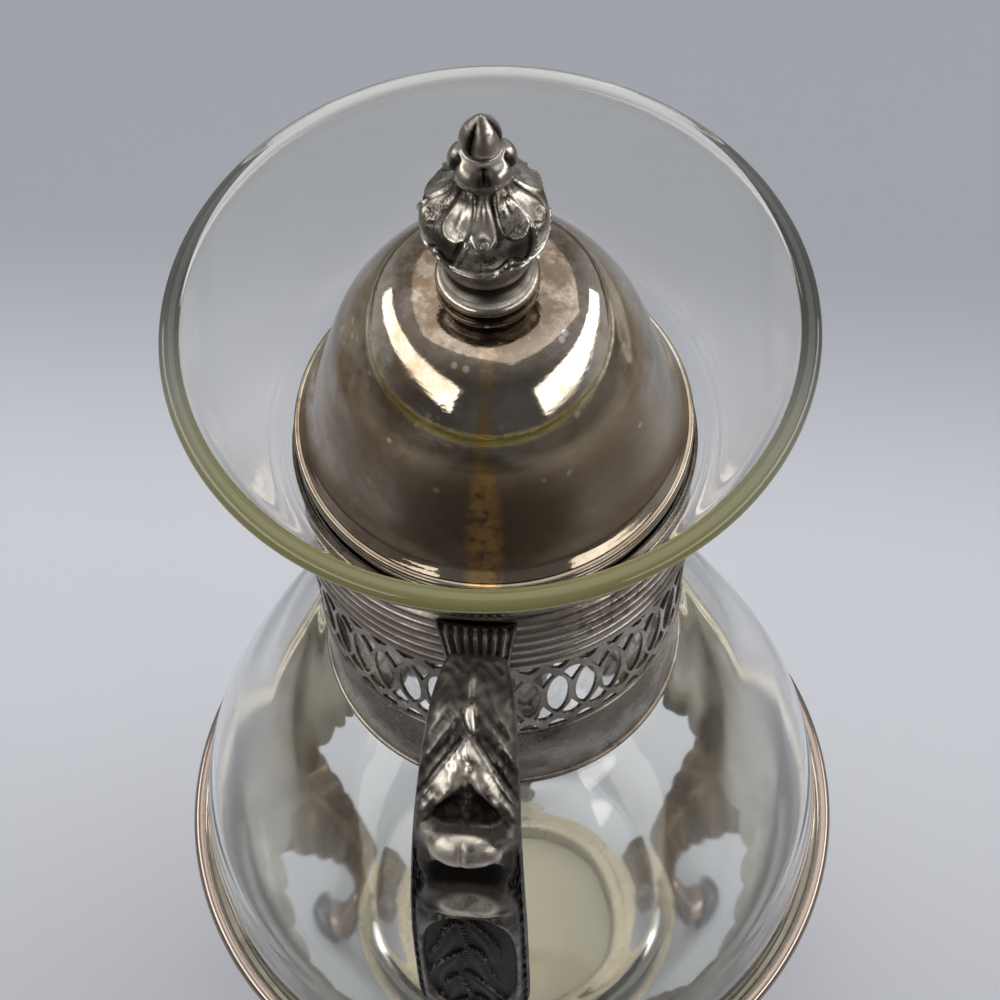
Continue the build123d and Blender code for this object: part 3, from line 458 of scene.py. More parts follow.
# Painted shade: the rim's side towards the handle is tinted greener and made less clear.
painted_near_shade = glass.step(y, 0.016, -0.052)
tint = glass.times(rim_green, glass.step(painted_near_shade, 0.0, 1.0, 0.22, 1.0))
dull_share_with_painted_shade = glass.times(rim_green, glass.step(painted_near_shade, 0.0, 1.0, 0.05, 0.44))
glass.set("Base Color", glass.mix(tint, (0.985, 0.992, 0.975), (0.37, 0.355, 0.15)))
glass.set("Transmission Weight", glass.calc("SUBTRACT", 1.0, dull_share_with_painted_shade))
glass.set("IOR", 1.46)
belly = glass.step(z, 0.225, 0.185, 0.01, 0.035)
glass.set("Roughness", glass.plus(glass.times(glass.noise(12.0, 2.0, 0.5), 0.02), belly))
glass.set("Normal", glass.bumps(glass.noise(16.0, 1.0, 0.4), 0.15, 0.0012))
clear = glass.add("ShaderNodeBsdfTransparent", {"Color": (0.93, 0.945, 0.92)})
rays = glass.add("ShaderNodeLightPath").outputs["Is Shadow Ray"]
swap = glass.add("ShaderNodeMixShader", {0: rays, 1: glass.shader.outputs[0], 2: clear.outputs[0]})
glass.feed(glass.tree.nodes["Material Output"].inputs["Surface"], swap.outputs[0])
finishes["clear_glass"] = glass.material
print("glass:", len(glass.tree.nodes), "nodes")

# %% [markdown]
# ## Wax and wick
# Candle wax is white, a little see-through and softly shiny. The wick is cotton, charred at its
# tip. Both are small and seen only from the side, so simple noise is enough for them.

# %% The wax and wick finishes
wax = Finish("white_candle_wax")
wax.set("Base Color", wax.mix(wax.noise(90.0), (0.46, 0.42, 0.31), (0.40, 0.36, 0.25)))
wax.set("Roughness", wax.step(wax.noise(200.0), 0.3, 0.7, 0.35, 0.55))
wax.set("Normal", wax.bumps(wax.noise(120.0), 0.2, 0.0006))
wax.set("Subsurface Weight", 0.25)
wax.set("Subsurface Radius", (0.004, 0.003, 0.002))
finishes["candle_wax"] = wax.material

wick = Finish("charred_cotton_wick")
char = wick.step(wick.height(), 0.0385, 0.0420)
wick.set("Base Color", wick.mix(char, (0.72, 0.68, 0.58), (0.03, 0.028, 0.026)))
wick.set("Roughness", 0.9)
wick.set("Normal", wick.bumps(wick.noise(2500.0), 0.5, 0.0003))
finishes["wick_cotton"] = wick.material
print("finishes:", sorted(finishes))

# %% [markdown]
# ## Finishes on the CAD pieces
# Small turned and bent pieces, such as screws, rivets and the candle, already have the right shape
# in the CAD model. They stay, and only take their finish.

# %% Give each CAD piece its finish
slot_of = {part["node"]: part["material_slot"] for part in frame["record"]["subparts"]}
for name, piece in frame["nodes"].items():
    piece.data.materials.clear()
    piece.data.materials.append(finishes[slot_of[name]])
print("CAD pieces with a finish:", len(slot_of))

# %% [markdown]
# ## The glass vessel
# The vessel was blown in a mould and its mouth was worked by hand. Its outline is a round bowl, a
# long shoulder, a straight neck and a wide flare with a rounded rim. Turning one closed outline
# gives both the outside and the inside, which a glass shader needs for true bending of light.

# %% Outline of the glass
WALL = 2.4
BOWL, BOWL_HEIGHT = 71.0, 132.0
SEAT = radians(44.0)
seat_r, seat_z = BOWL * cos(SEAT), BOWL_HEIGHT - BOWL * sin(SEAT)
heel = (seat_r - (seat_z - 69.0) * sin(SEAT) / cos(SEAT), 69.0)
shoulder = smooth_line([
    (BOWL, BOWL_HEIGHT), (69.5, 142.0), (67.3, 150.0), (61.0, 166.0), (50.7, 189.0), (39.8, 203.6), (34.6, 210.4),
    (34.2, 216.0),
], 10)
flare = smooth_line([(34.2, 268.0), (34.4, 273.0), (36.1, 281.2), (39.4, 287.2), (49.46, 305.35), (55.1, 318.1)], 12)
outside = [(0.0, 66.0)] + [(33.0 * i / 8, 66.0) for i in range(1, 8)] + arc((33.0, 71.6), 5.6, 270, 318, 6)
outside += [heel] + arc((0.0, BOWL_HEIGHT), BOWL, -44, -2, 30) + shoulder + flare
inside = arc((0.0, BOWL_HEIGHT), BOWL - WALL, -44, -2, 30) + beside(shoulder, -WALL) + beside(flare, -WALL)[:-1]
inside += [(52.3, 319.4)]
rim_bead = arc((53.75, 318.55), 1.95, -8, 150, 12)
under_glass = [(heel[0] - 2.0, 70.4), (31.0, 69.1), (20.0, 69.0), (0.0, 69.0)]
glass_outline = outside + rim_bead + list(reversed(inside)) + under_glass
make_piece("blown_glass_vessel", lathe(glass_outline, 240), "carafe", "clear_glass", ["glass_vessel"], sharp=60)

# %% [markdown]
# ## The collar
# A reeded band holds the top of the neck and a plain band its foot. Between them is the pierced
# gallery, punched from sheet: a row of ovals that cross each other. It could be cut with booleans,
# but 200 cuts would leave rough edges. A flat curve with holes is filled by Blender with clean
# faces and can round their edges, so the strip is made flat and then rolled into a ring.


# %% Reeded band and foot band
COLLAR_WAIST, COLLAR_TOP = 232.5, 281.5


def collar_radius(height):
    """The collar is straight up to its waist and widens a little above it."""
    return 35.7 + 1.9 * max(0.0, height - COLLAR_WAIST) / (COLLAR_TOP - COLLAR_WAIST)


REED, REEDS_START = 3.25, 262.0
reeded = []
for reed in range(6):
    for i in range(9):
        z = REEDS_START + reed * REED + REED * i / 8
        reeded.append((collar_radius(z) + 0.85 * sqrt(max(0.0, 1 - (2 * i / 8 - 1) ** 2)) - 0.05, z))
reeded += [(37.4, 281.7), (36.9, 281.5), (36.8, 280.9)]
reeded += [(collar_radius(z) - 0.8, z) for z in (276.0, 270.0, 264.0, REEDS_START)]
make_piece("reeded_collar_band", lathe(reeded, 360), "carafe", "collar_silver", ["collar_reeded_band"], sharp=50)
foot_band = [(34.9, 210.6), (35.6, 210.5)] + arc((35.75, 211.45), 0.75, -80, 80, 8)
foot_band += [(35.75, 212.6), (35.7, 213.0), (35.7, 222.0), (35.7, 231.9), (35.95, 232.2), (35.7, 232.5), (34.9, 232.4)]
make_piece("plain_collar_band", lathe(foot_band, 240), "carafe", "collar_silver", ["collar_foot_band"], sharp=50)

# %% [markdown]
# The ovals overlap like links of a chain, and what is cut away is what lies between their lines: a
# pointed leaf in each overlap, a three-cornered gap above and below it, and a lens at each edge of
# the band. Each opening is worked out from the oval's own formula, so the straps that are left
# have an even width.

# %% Pierced gallery: outlines of the openings
PITCHES = 40
GALLERY_MIDDLE = 247.25
PITCH = 2 * pi * collar_radius(GALLERY_MIDDLE) / PITCHES
OVAL = 11.5
STRAP = 0.62


def oval(offset, grow):
    """Height of an oval's line at a distance from its centre, grown outward or inward."""
    return (OVAL + grow) * sqrt(max(0.0, 1 - (offset / (PITCH + grow)) ** 2))


def pointed_leaf():
    """Where two neighbouring ovals overlap: each side is a piece of the farther oval."""
    tip = oval(PITCH / 2, -STRAP) - 0.7
    side = []
    for i in range(15):
        z = -tip + 2 * tip * i / 14
        wide = (PITCH / 2 - STRAP) * sqrt(max(0.0, 1 - (z / tip) ** 2)) ** 1.25
        side.append((wide, z))
    return side + [(-x, z) for x, z in reversed(side[1:-1])]


def corner_gap(sign):
    """The three-cornered gap over or under the crossing of two ovals."""
    half = PITCH / 2 - STRAP * 1.15
    top = oval(0.0, -STRAP) - 0.15
    low = OVAL * 0.33
    line = smooth_line([(0.0, low), (half * 0.42, low + 2.2), (half, oval(half, -STRAP) * 0.86)], 4)
    roof = smooth_line([(half, oval(half, -STRAP) * 0.86), (half * 0.6, top - 0.55), (0.0, top)], 4)
    right = line + roof[1:]
    return [(x, sign * z) for x, z in right + [(-x, z) for x, z in reversed(right[1:-1])]]


def edge_lens(sign):
    """The gap between two ovals' tops and the straight edge of the band."""
    half = PITCH / 2 - STRAP * 0.9
    edge = 14.15
    dip = oval(PITCH / 2, STRAP) + 0.25
    bow = smooth_line([(half, edge), (half * 0.62, dip + (edge - dip) * 0.32), (0.0, dip)], 5)
    roof = [(half * k / 4, edge + 0.18 * (1 - (k / 4) ** 2)) for k in range(4)]
    right = roof + bow
    return [(x, sign * z) for x, z in right + [(-x, z) for x, z in reversed(right[1:-1])]]


print("openings: leaf", len(pointed_leaf()), "gap", len(corner_gap(1)), "lens", len(edge_lens(1)), "points")

# %% [markdown]
# The outlines go into one flat curve, which Blender fills between them. The strip is then cut into
# narrow slices, so that it has points enough to bend, and is wrapped round the neck. Its two ends
# leave a narrow split behind the handle, as on the real collar.

# %% Pierced gallery: one flat strip, rolled into a ring
HALF_BAND = 14.75
SPLIT = 1.9
strip = bpy.data.curves.new("gallery_strip", "CURVE")
strip.dimensions = "2D"
strip.fill_mode = "BOTH"
strip.extrude = 0.26 * MM
strip.bevel_depth = 0.13 * MM
strip.bevel_resolution = 1
LENGTH = PITCHES * PITCH - SPLIT


def add_outline(points):
    line = strip.splines.new("POLY")
    line.points.add(len(points) - 1)
    for point, (x, y) in zip(line.points, points):
        point.co = (x * MM, y * MM, 0, 1)
    line.use_cyclic_u = True


edge = HALF_BAND - 0.15
add_outline([(0.1, -edge), (LENGTH, -edge), (LENGTH, edge), (0.1, edge)])
for k in range(PITCHES):
    middle = k * PITCH + PITCH / 2 - SPLIT / 2
    for outline in (pointed_leaf(), edge_lens(1), edge_lens(-1)):
        add_outline([(x + middle, z) for x, z in outline])
    if k:
        for sign in (1, -1):
            add_outline([(x + middle - PITCH / 2, z) for x, z in corner_gap(sign)])
flat = bpy.data.objects.new("gallery_strip", strip)
bpy.context.scene.collection.objects.link(flat)
flat_mesh = bpy.data.meshes.new_from_object(flat.evaluated_get(bpy.context.evaluated_depsgraph_get()))
cutter = bmesh.new()
cutter.from_mesh(flat_mesh)
for k in range(4 * PITCHES):
    everything = cutter.verts[:] + cutter.edges[:] + cutter.faces[:]
    where = (k * PITCH / 4 + PITCH / 8) * MM
    bmesh.ops.bisect_plane(cutter, geom=everything, plane_co=(where, 0, 0), plane_no=(1, 0, 0), dist=1e-7)
strip_points = [tuple(v.co / MM) for v in cutter.verts]
cutter.verts.index_update()
strip_faces = [tuple(v.index for v in face.verts) for face in cutter.faces]
cutter.free()
bpy.data.objects.remove(flat)
rolled = []
for x, y, depth in strip_points:
    z = GALLERY_MIDDLE + y
    r = collar_radius(z) - 0.4 + depth
    a = radians(-90) + (x + SPLIT / 2) / (PITCHES * PITCH) * 2 * pi
    rolled.append((r * cos(a), r * sin(a), z))
make_piece("pierced_gallery", (rolled, strip_faces), "carafe", "collar_silver", ["collar_pierced_gallery"], sharp=30)

# %% [markdown]
# ## The cast handle
# The handle is a heavy casting with a leaf laid over its back: overlapping lobes with a beaded
# vein, a bright cross roll, a smooth saddle, a second roll, and an oval panel with a sprig. The
# sides of the bow are stippled. A sculptor would carve this; here the bow is a tube of rounded
# sections, and its outer face is raised and lowered by a function of the place along it and
# across it. The same value is kept on the mesh, so that the finish is dark in the low places.

# %% The bow's line and width
OUT, HEAD, LOW = 71.7, 271.5, 194.5
HEAD_ROOT, TAIL_ROOT = 39.45, 34.9
TAIL_LOW, TAIL_TOP = 179.6, 216.0
upper_part = [
    (0, 0, 0.48, 0.95), (0.22, 0.009, 0.66, 1.1), (0.47, 0.062, 0.77, 1.14), (0.668, 0.144, 0.84, 1.12),
    (0.814, 0.24, 0.89, 1.07), (0.935, 0.422, 0.95, 1.02), (0.988, 0.617, 0.99, 1), (1, 0.812, 1, 1), (1, 1, 1, 1),
]
lower_part = [
    (0.986, 0.203, 0.96, 1), (0.918, 0.047, 0.87, 0.98), (0.802, 0, 0.76, 0.94), (0.698, 0.077, 0.68, 0.91),
    (0.617, 0.198, 0.62, 0.89), (0.527, 0.335, 0.58, 0.87), (0.427, 0.484, 0.55, 0.86), (0.288, 0.681, 0.52, 0.84),
    (0.136, 0.89, 0.5, 0.84), (0.04, 0.99, 0.48, 0.86),
]
bow_line = [(HEAD_ROOT + (OUT - HEAD_ROOT) * out, HEAD - (HEAD - LOW) * down, w, t) for out, down, w, t in upper_part]
bow_line += [
    (TAIL_ROOT + (OUT - TAIL_ROOT) * out, TAIL_LOW + (TAIL_TOP - TAIL_LOW) * up, w, t) for out, up, w, t in lower_part
]
bow = smooth_line(bow_line, 25)
lengths = [0.0]
for (r0, z0, *_), (r1, z1, *_) in zip(bow, bow[1:]):
    lengths.append(lengths[-1] + hypot(r1 - r0, z1 - z0))
print("handle length along the bow, mm:", round(lengths[-1], 1))


# %% [markdown]
# The relief is a height for each place: s is how far along the bow, x how far across it. Each part
# of the carving has a function of its own, named for what it looks like, so that one can be
# corrected without the others. The first ones make the leaf from the head down to the roll.

# %% Relief of the leaf, in millimetres above or below the plain back of the bow
def leaf_head(s, x):
    """The dull rounded hood, its narrow rib, and the folds that run down and out from it."""
    side = abs(x)
    hood = 0.30 * ease(0.4, 2.6, s) * (1 - (side / 12) ** 2) * (1 - ease(8.0, 12.0, s - 0.4 * side))
    rib = 0.55 * bump(x + 0.15, 0.42) * ease(3.4, 4.6, s) * (1 - ease(7.2, 8.4, s))
    first = 0.50 * bump(s - 8.6 - 1.15 * side, 0.75) * ease(1.6, 3.2, side)
    second = 0.42 * bump(s - 4.6 - 1.25 * side, 0.9) * ease(3.2, 5.0, side)
    dips = 0.35 * bump(s - 10.4 - 1.2 * side, 0.9) * ease(1.6, 3.0, side)
    return hood + rib + first + second - dips


def bud(s, x):
    """The bright curl that stands on the leaf's middle."""
    bend = x + 0.45 * sin((s - 8.4) * 0.75) - 0.25
    return 1.55 * sqrt(max(0.0, 1 - ((s - 11.1) / 2.8) ** 2 - (bend / 1.15) ** 2))


def lower_lobes(s, x):
    """Two plump lobes under a thin ridge, dark hollows below them, and dull outer lobes."""
    side = abs(x)
    top = s - 13.6 - 1.36 * side
    end = 21.0 + 1.03 * side - s
    ridge = 0.40 * bump(top, 0.50) * ease(0.2, 1.0, side) - 0.45 * bump(top + 1.3, 0.7)
    plump = 1.30 * exp(-(((side - 2.6) / 3.4) ** 2)) + 0.15
    lobes = plump * ease(-0.8, 3.0, top) * ease(-1.4, 2.0, end)
    hollow = 1.15 * bump(side - 3.9, 2.4) * bump(s - 25.8, 3.2) * (1 - ease(-0.5, 1.4, end))
    outer = 0.55 * bump(side - 8.0, 1.5) * bump(s - 26.5, 4.5)
    folds = 0.10 * sin(2.1 * (s - 1.36 * side)) * ease(0.0, 2.0, top) * ease(3.5, 6.0, side)
    return ridge + lobes - hollow + outer + folds


def leaf_vein(s, x):
    """A low vein of uneven beads down the middle of the lobes."""
    beads = 0.5 + 0.5 * cos(2 * pi * (s - 15.0 + 0.5 * sin(s * 1.3)) / 1.7)
    line = bump(x - 0.22 * sin(s * 1.1), 0.48)
    return line * (0.20 + 0.38 * beads) * ease(14.2, 15.4, s) * (1 - ease(27.8, 29.4, s))


print("relief on the leaf's middle:", [round(lower_lobes(s, 0.0) + leaf_vein(s, 0.0), 2) for s in (16, 20, 24, 28)])

# %% [markdown]
# Below the leaf a plump roll crosses the bow, rubbed bright by thumbs and given a painted highlight.
# Then come a black dish, a saddle with a second bright crest that also has a painted highlight, and
# the oval panel with its sprig of beaded leaves.


# %% Relief of the roll, the saddle and the panel
def barrel_roll(s, x):
    """The bright cross roll: a broad plump middle, with ends that sink into drooping wings."""
    side = abs(x)
    lean = s + 0.35 * max(0.0, side - 4.5)
    middle = 2.5 * sqrt(max(0.0, 1 - ((s - 34.1) / 3.6) ** 2 - (side / 6.6) ** 2))
    wings = 0.95 * exp(-(((lean - 32.6) / 2.6) ** 2)) * (1 - ease(8.2, 10.6, side))
    notch = 0.55 * bump(x + 0.6, 0.55) * bump(s - 34.4, 2.4)
    return max(middle, wings) - notch


def waist(s):
    """Half the width of the plain body between the roll and the panel."""
    return 9.3 - 2.3 * bump(s - 43.5, 5.0)


def below_roll(s, x):
    """The black dish under the roll, the saddle with its second bright crest, and the undercut."""
    side = abs(x)
    dish = 1.65 * ease(36.6, 38.8, s) * (1 - ease(39.8, 45.5, s)) * (1 - ease(4.8, 7.8, side))
    rough = 0.10 * sin(3.1 * s + 2.0 * x) * sin(4.3 * x - 1.7 * s)
    crest = (1.2 + rough) * bump(s - 49.4, 2.3) * (1 - ease(2.4, 7.0, abs(x - 0.5)))
    lip = 0.45 * bump(s - 51.6, 0.5) * (1 - ease(6.4, 8.6, side))
    undercut = 1.10 * bump(s - 52.9 - 0.03 * side**2, 0.8) * (1 - ease(3.5, 6.8, side))
    return crest + lip - dish - undercut


def panel(s, x):
    """The long panel: a thin raised edge, a sunk ground, and beaded leaves that hang from a stem."""
    along, across = abs(s - 76.8) / 23.2, abs(x) / 9.5
    slope = 3.2 * hypot(along**2.2 / 23.2, across**2.2 / 9.5)
    edge = (along**3.2 + across**3.2 - 1) / max(slope, 0.08)
    ground = 1 - ease(-1.7, -0.3, edge)
    relief = 0.45 * bump(edge, 0.45) - 1.25 * ground
    if ground < 0.05:
        return relief
    stem = 0.7 * sin((s - 60.0) * 0.22) - 1.1
    beads = 0.60 + 0.40 * cos(2 * pi * s / 1.5)
    sprig = 0.85 * bump(x - stem, 0.55) * beads * ease(57.0, 59.0, s)
    for k in range(4):
        for way in (-1, 1):
            out = (x - stem) * way
            if out < 0.05 or out > 8.4:
                continue
            root = 57.4 + 12.5 * k - (0.0 if way < 0 else 2.2)
            gap = (s - root - 0.34 * out**2) / hypot(1.0, 0.68 * out)
            row = 0.58 + 0.42 * cos(2 * pi * (s + out) / 1.35)
            strand = bump(gap, 0.55) * row * ease(0.1, 0.8, out) * (1 - ease(5.8, 7.6, out))
            swell = 0.40 * bump(gap - 2.6, 1.7) * ease(0.8, 2.0, out) * (1 - ease(4.6, 6.6, out))
            sprig = max(sprig, strand, swell)
    return relief + sprig * ground


print("relief on the middle line:", [round(barrel_roll(s, 0.0) + below_roll(s, 0.0), 2) for s in (34, 40, 49, 53)])

# %% [markdown]
# One function puts the parts together: the higher one wins where two meet, and the sides of the bow
# keep a plain stippled border. A second says how much a place is brighter or darker than its height
# alone: rubbed bright, since hands polish the middle of a crest more than its ends, with a painted
# highlight on the crests and painted shade on the head and the sides.


# %% The whole relief
def rubbed_and_painted_light(s, x):
    """How much brighter or darker a place is than its height alone: rubbed wear and painted highlight on the crests,
    painted shade on the head and sides.
    """
    side = abs(x)
    # Painted highlight, with rubbed wear, on the lobes, the roll and the saddle crest; painted shade on the head and
    # the sides.
    lobes = 0.22 * bump(s - 17.6 - 0.5 * side, 3.6) * (1 - ease(5.0, 7.5, side))
    rubbed_crest_and_painted_highlight = 0.35 * bump(s - 34.4, 3.0) * (1 - ease(5.5, 7.5, side)) + 0.45 * bump(s - 48.6, 3.4) * bump(x - 0.5, 4.0)
    return lobes + rubbed_crest_and_painted_highlight - 0.14 * (1 - ease(8.0, 11.0, s)) - 0.10 * ease(7.0, 9.5, side)


def handle_relief(s, x, half_width):
    """Height of the casting's face at s along the bow and x across it."""
    u = abs(x) / half_width
    upper = 1 - ease(30.0, 32.5, s)
    carved = leaf_head(s, x) * (1 - ease(18.0, 24.0, s)) + lower_lobes(s, x) * ease(11.0, 14.0, s)
    lumps = 0.13 * sin(1.9 * s + 1.3 * sin(1.1 * x)) * sin(1.7 * x + 1.2 * sin(0.9 * s)) * ease(1.0, 3.0, s)
    relief = (carved + lumps - 0.35 * ease(0.5, 3.0, s)) * upper + leaf_vein(s, x)
    relief = max(relief, -0.45 + bud(s, x)) if 8.0 < s < 14.2 else relief
    roll = barrel_roll(s, x)
    relief = max(relief, -0.35 + roll) if roll > 0.12 else relief
    if s > 35.0:
        relief += below_roll(s, x)
    if 51.0 < s < 104.0:
        relief += panel(s, x)
    body = min(waist(s), half_width - 1.5)
    border = ease(body - 0.1, body + 0.7, abs(x)) * ease(33.0, 37.0, s)
    grain = sin(s * 5.3 + 1.9 * sin(x * 8.3)) * sin(x * 6.9 + 2.2 * sin(s * 3.9))
    plain = 0.34 * grain - 0.45 + 0.50 * bump((u - 0.97) * half_width, 0.25)
    relief = relief * (1 - border) + border * plain
    root = ease(100.0, 114.0, s)
    return relief * (1 - root) + root * 0.22 * cos(2 * pi * x / 2.2)


print("relief at the roll, the panel and the border:", [
    round(handle_relief(s, x, 11.0), 2) for s, x in ((34.0, 0.0), (76.8, 0.0), (45.0, 9.5))
])

# %% [markdown]
# The bow is now a tube through its sections. Each section is a rounded bar: the outer half is
# lifted by the relief and the inner half is plain. The height of each point, with the rubbed wear,
# the painted highlight and the painted shade added, is kept on the mesh as a value between 0 and 1
# for the finish.

# %% Sections of the bow
ACROSS, INNER = 92, 24
BAR_HALF, BAR_THICK = 11.0, 3.5


def crown(u):
    """How thick the bar is at a share of its half width, from 1 in the middle to 0 at the edge."""
    return (1 - abs(u) ** 3.4) ** (1 / 2.4)


handle_rings, handle_heights = [], []
for k, (r, z, wide, thick) in enumerate(bow):
    before, after = bow[max(k - 1, 0)], bow[min(k + 1, len(bow) - 1)]
    way = Vector((after[0] - before[0], after[1] - before[1])).normalized()
    out = Vector((-way.y, way.x))
    half_width, half_thick = BAR_HALF * wide, BAR_THICK * thick
    s = lengths[k]
    ring = []
    for i in range(ACROSS + 1):
        u = -cos(pi * i / ACROSS)
        x = half_width * u
        raised = handle_relief(s, x, half_width) * ease(1.0, 0.93, abs(u))
        lift = max(half_thick * crown(u) - 0.2 + raised, 0.0) if abs(u) < 0.999 else 0.0
        ring.append((x, -(r + out.x * lift), z + out.y * lift))
        on_ground = 54.0 < s < 100.0 and abs(x) < 8.3
        sprig = 0.34 * ease(-1.05, -0.6, raised) * (1 - ease(-0.35, -0.15, raised)) if on_ground else 0.0
        # The value adds rubbed wear, painted highlight on the crests and painted shade on the head and sides.
        handle_heights.append(min(1.0, max(0.0, 0.50 + 0.40 * raised + rubbed_and_painted_light(s, x) + sprig)))
    for i in range(1, INNER):
        u = cos(pi * i / INNER)
        lift = -half_thick * crown(u)
        ring.append((half_width * u, -(r + out.x * lift), z + out.y * lift))
        handle_heights.append(0.45)
    handle_rings.append(ring)
make_piece("leaf_cast_handle", loft_rings(handle_rings), "carafe", "handle_cast", ["handle"], handle_heights, 60)

# %% [markdown]
# ## The fluted root plate
# Where the handle meets the reeded band, the casting spreads into a small fan of flutes. It is
# wider at the top and slopes onto the band. A grid of points bent round the collar makes it, with
# the flutes as waves that spread with the fan.

# %% The root plate
PLATE_UP, PLATE_ACROSS = 24, 84
rows = []
for j in range(PLATE_UP + 1):
    t = j / PLATE_UP
    z = 264.6 + 17.4 * t
    half_width = 5.4 + 1.85 * t**1.4
    front, back = [], []
    for i in range(PLATE_ACROSS + 1):
        u = 2 * i / PLATE_ACROSS - 1
        a = radians(-90) + asin(u * half_width / 39.0)
        flute = 0.42 * cos(2 * pi * u * 4.25) * (1 - u**8)
        r = 39.1 + 1.0 * (1 - u**6) + flute + 0.9 * (1 - t) ** 2
        r -= 0.8 * ease(0.9, 1.0, t)
        front.append((r * cos(a), r * sin(a), z + 0.3 * cos(2 * pi * u * 4.25) * ease(0.8, 1.0, t)))
        back.append((38.48 * cos(a), 38.48 * sin(a), z))
    rows.append(front + list(reversed(back)))
plate_heights = []
for row in rows:
    for x, y, z in row:
        plate_heights.append(min(0.72, max(0.0, 0.24 + (hypot(x, y) - 39.0) / 2.4)))
make_piece("fluted_root_plate", loft_rings(rows), "carafe", "handle_cast", ["handle_root_plate"], plate_heights, 60)

# %% [markdown]
# ## The lid
# The lid is spun from sheet: a flat top for the finial, a rounded shoulder, a bell-shaped side and
# a rim of a bead and fine reeds. The spinner's outline is turned again, with a thin wall.

# %% Dome, rim and skirt
dome = [(2.08, 330.5), (5.0, 330.5)]
dome += smooth_line([
    (9.0, 330.45), (12.6, 330.25), (15.4, 329.4), (18.2, 327.4), (20.9, 324.2), (23.6, 320.0), (26.4, 314.4),
    (28.5, 308.0), (30.2, 302.0), (31.4, 297.6), (32.3, 294.7), (33.3, 292.3), (34.2, 291.0), (34.75, 290.3),
], 8)
under = beside(dome, 0.9)
under[0], under[-1] = (2.08, 329.6), (33.9, 289.6)
make_piece("spun_lid_dome", lathe(dome + list(reversed(under)), 240), "lid", "lid_silver", ["lid_dome"], sharp=60)

flange = smooth_line([(32.2, 292.9), (32.75, 291.3), (33.5, 290.4), (34.2, 290.05), (34.8, 290.05)], 5)
lid_rim = [(30.3, 286.3), (30.3, 287.7), (32.0, 288.0), (31.9, 292.0)] + flange
lid_rim += arc((34.95, 289.25), 0.82, 80, -40, 12) + arc((35.2, 288.15), 0.55, 50, -60, 6)
lid_rim += arc((35.2, 287.2), 0.5, 60, -60, 6) + [(35.3, 286.5), (35.0, 286.3)]
make_piece("beaded_lid_rim", lathe(lid_rim, 240), "lid", "lid_silver", ["lid_rim"], sharp=50)

# %% [markdown]
# ## The finial
# The knob of the lid is a casting too: a pointed bud, a ring of puffy lobes, curled petals that
# hang over a fat bulb wrapped in leaves, and a scalloped skirt of leaf tips. It is a turned form
# whose radius swells and shrinks with the angle, so all of it stays one closed mesh.

# %% The finial's outline and one petal
finial_line = smooth_line([
    (2.15, 337.0), (6.9, 337.0), (7.0, 338.2), (7.2, 340.2), (7.8, 341.3), (8.8, 342.6), (9.6, 344.3), (10.1, 346.0),
    (10.3, 347.8), (10.1, 349.6), (9.3, 351.2), (7.8, 352.7), (6.2, 354.0), (5.1, 355.2), (4.4, 356.5), (4.0, 357.8),
    (3.9, 358.9), (4.4, 359.5), (5.1, 360.1), (5.2, 361.0), (4.7, 362.3), (3.6, 363.5), (2.9, 364.2), (3.3, 365.6),
    (3.05, 367.3), (2.2, 369.1), (1.1, 370.6), (0.4, 371.3), (0.0, 371.45),
], 9)


def around(angle, centre):
    """Signed angle from a centre, between -pi and pi."""
    return (angle - centre + pi) % (2 * pi) - pi


def petal(a, r, z, middle, low, high, half_width, plump):
    """A hanging petal with a rounded, rolled end: its relief at one place."""
    x = around(a, middle) * r
    t = max(0.0, min(1.0, (z - low) / (high - low)))
    if z < low - 1.2 or z > high + 1.0:
        return 0.0
    wide = half_width * (1.0 - 0.62 * t**1.3)
    below = max(0.0, low + 0.75 * wide - z) / (0.75 * wide)
    edge = (hypot(x / wide, below) - 1) * wide
    body = plump * (1 - ease(-0.7, 0.15, edge))
    rolled_end = 0.36 * bump(edge + 0.25, 0.42) * (1 - 0.8 * t)
    groove = 0.45 * bump(edge - 0.45, 0.35)
    crease = 0.25 * bump(x, 0.35) * ease(0.15, 0.5, t)
    return (body + rolled_end - groove - crease) * (1 - ease(0.85, 1.1, (z - low) / (high - low)))


print("finial outline:", len(finial_line), "points")

# %% [markdown]
# The relief works from the tip down: creases in the bud, five lobes, shallow flutes on the neck,
# two rows of five petals, small rosettes, and the folds and seams of the leaves round the bulb.
# Everything repeats five times, as in the pattern that the caster would have used.


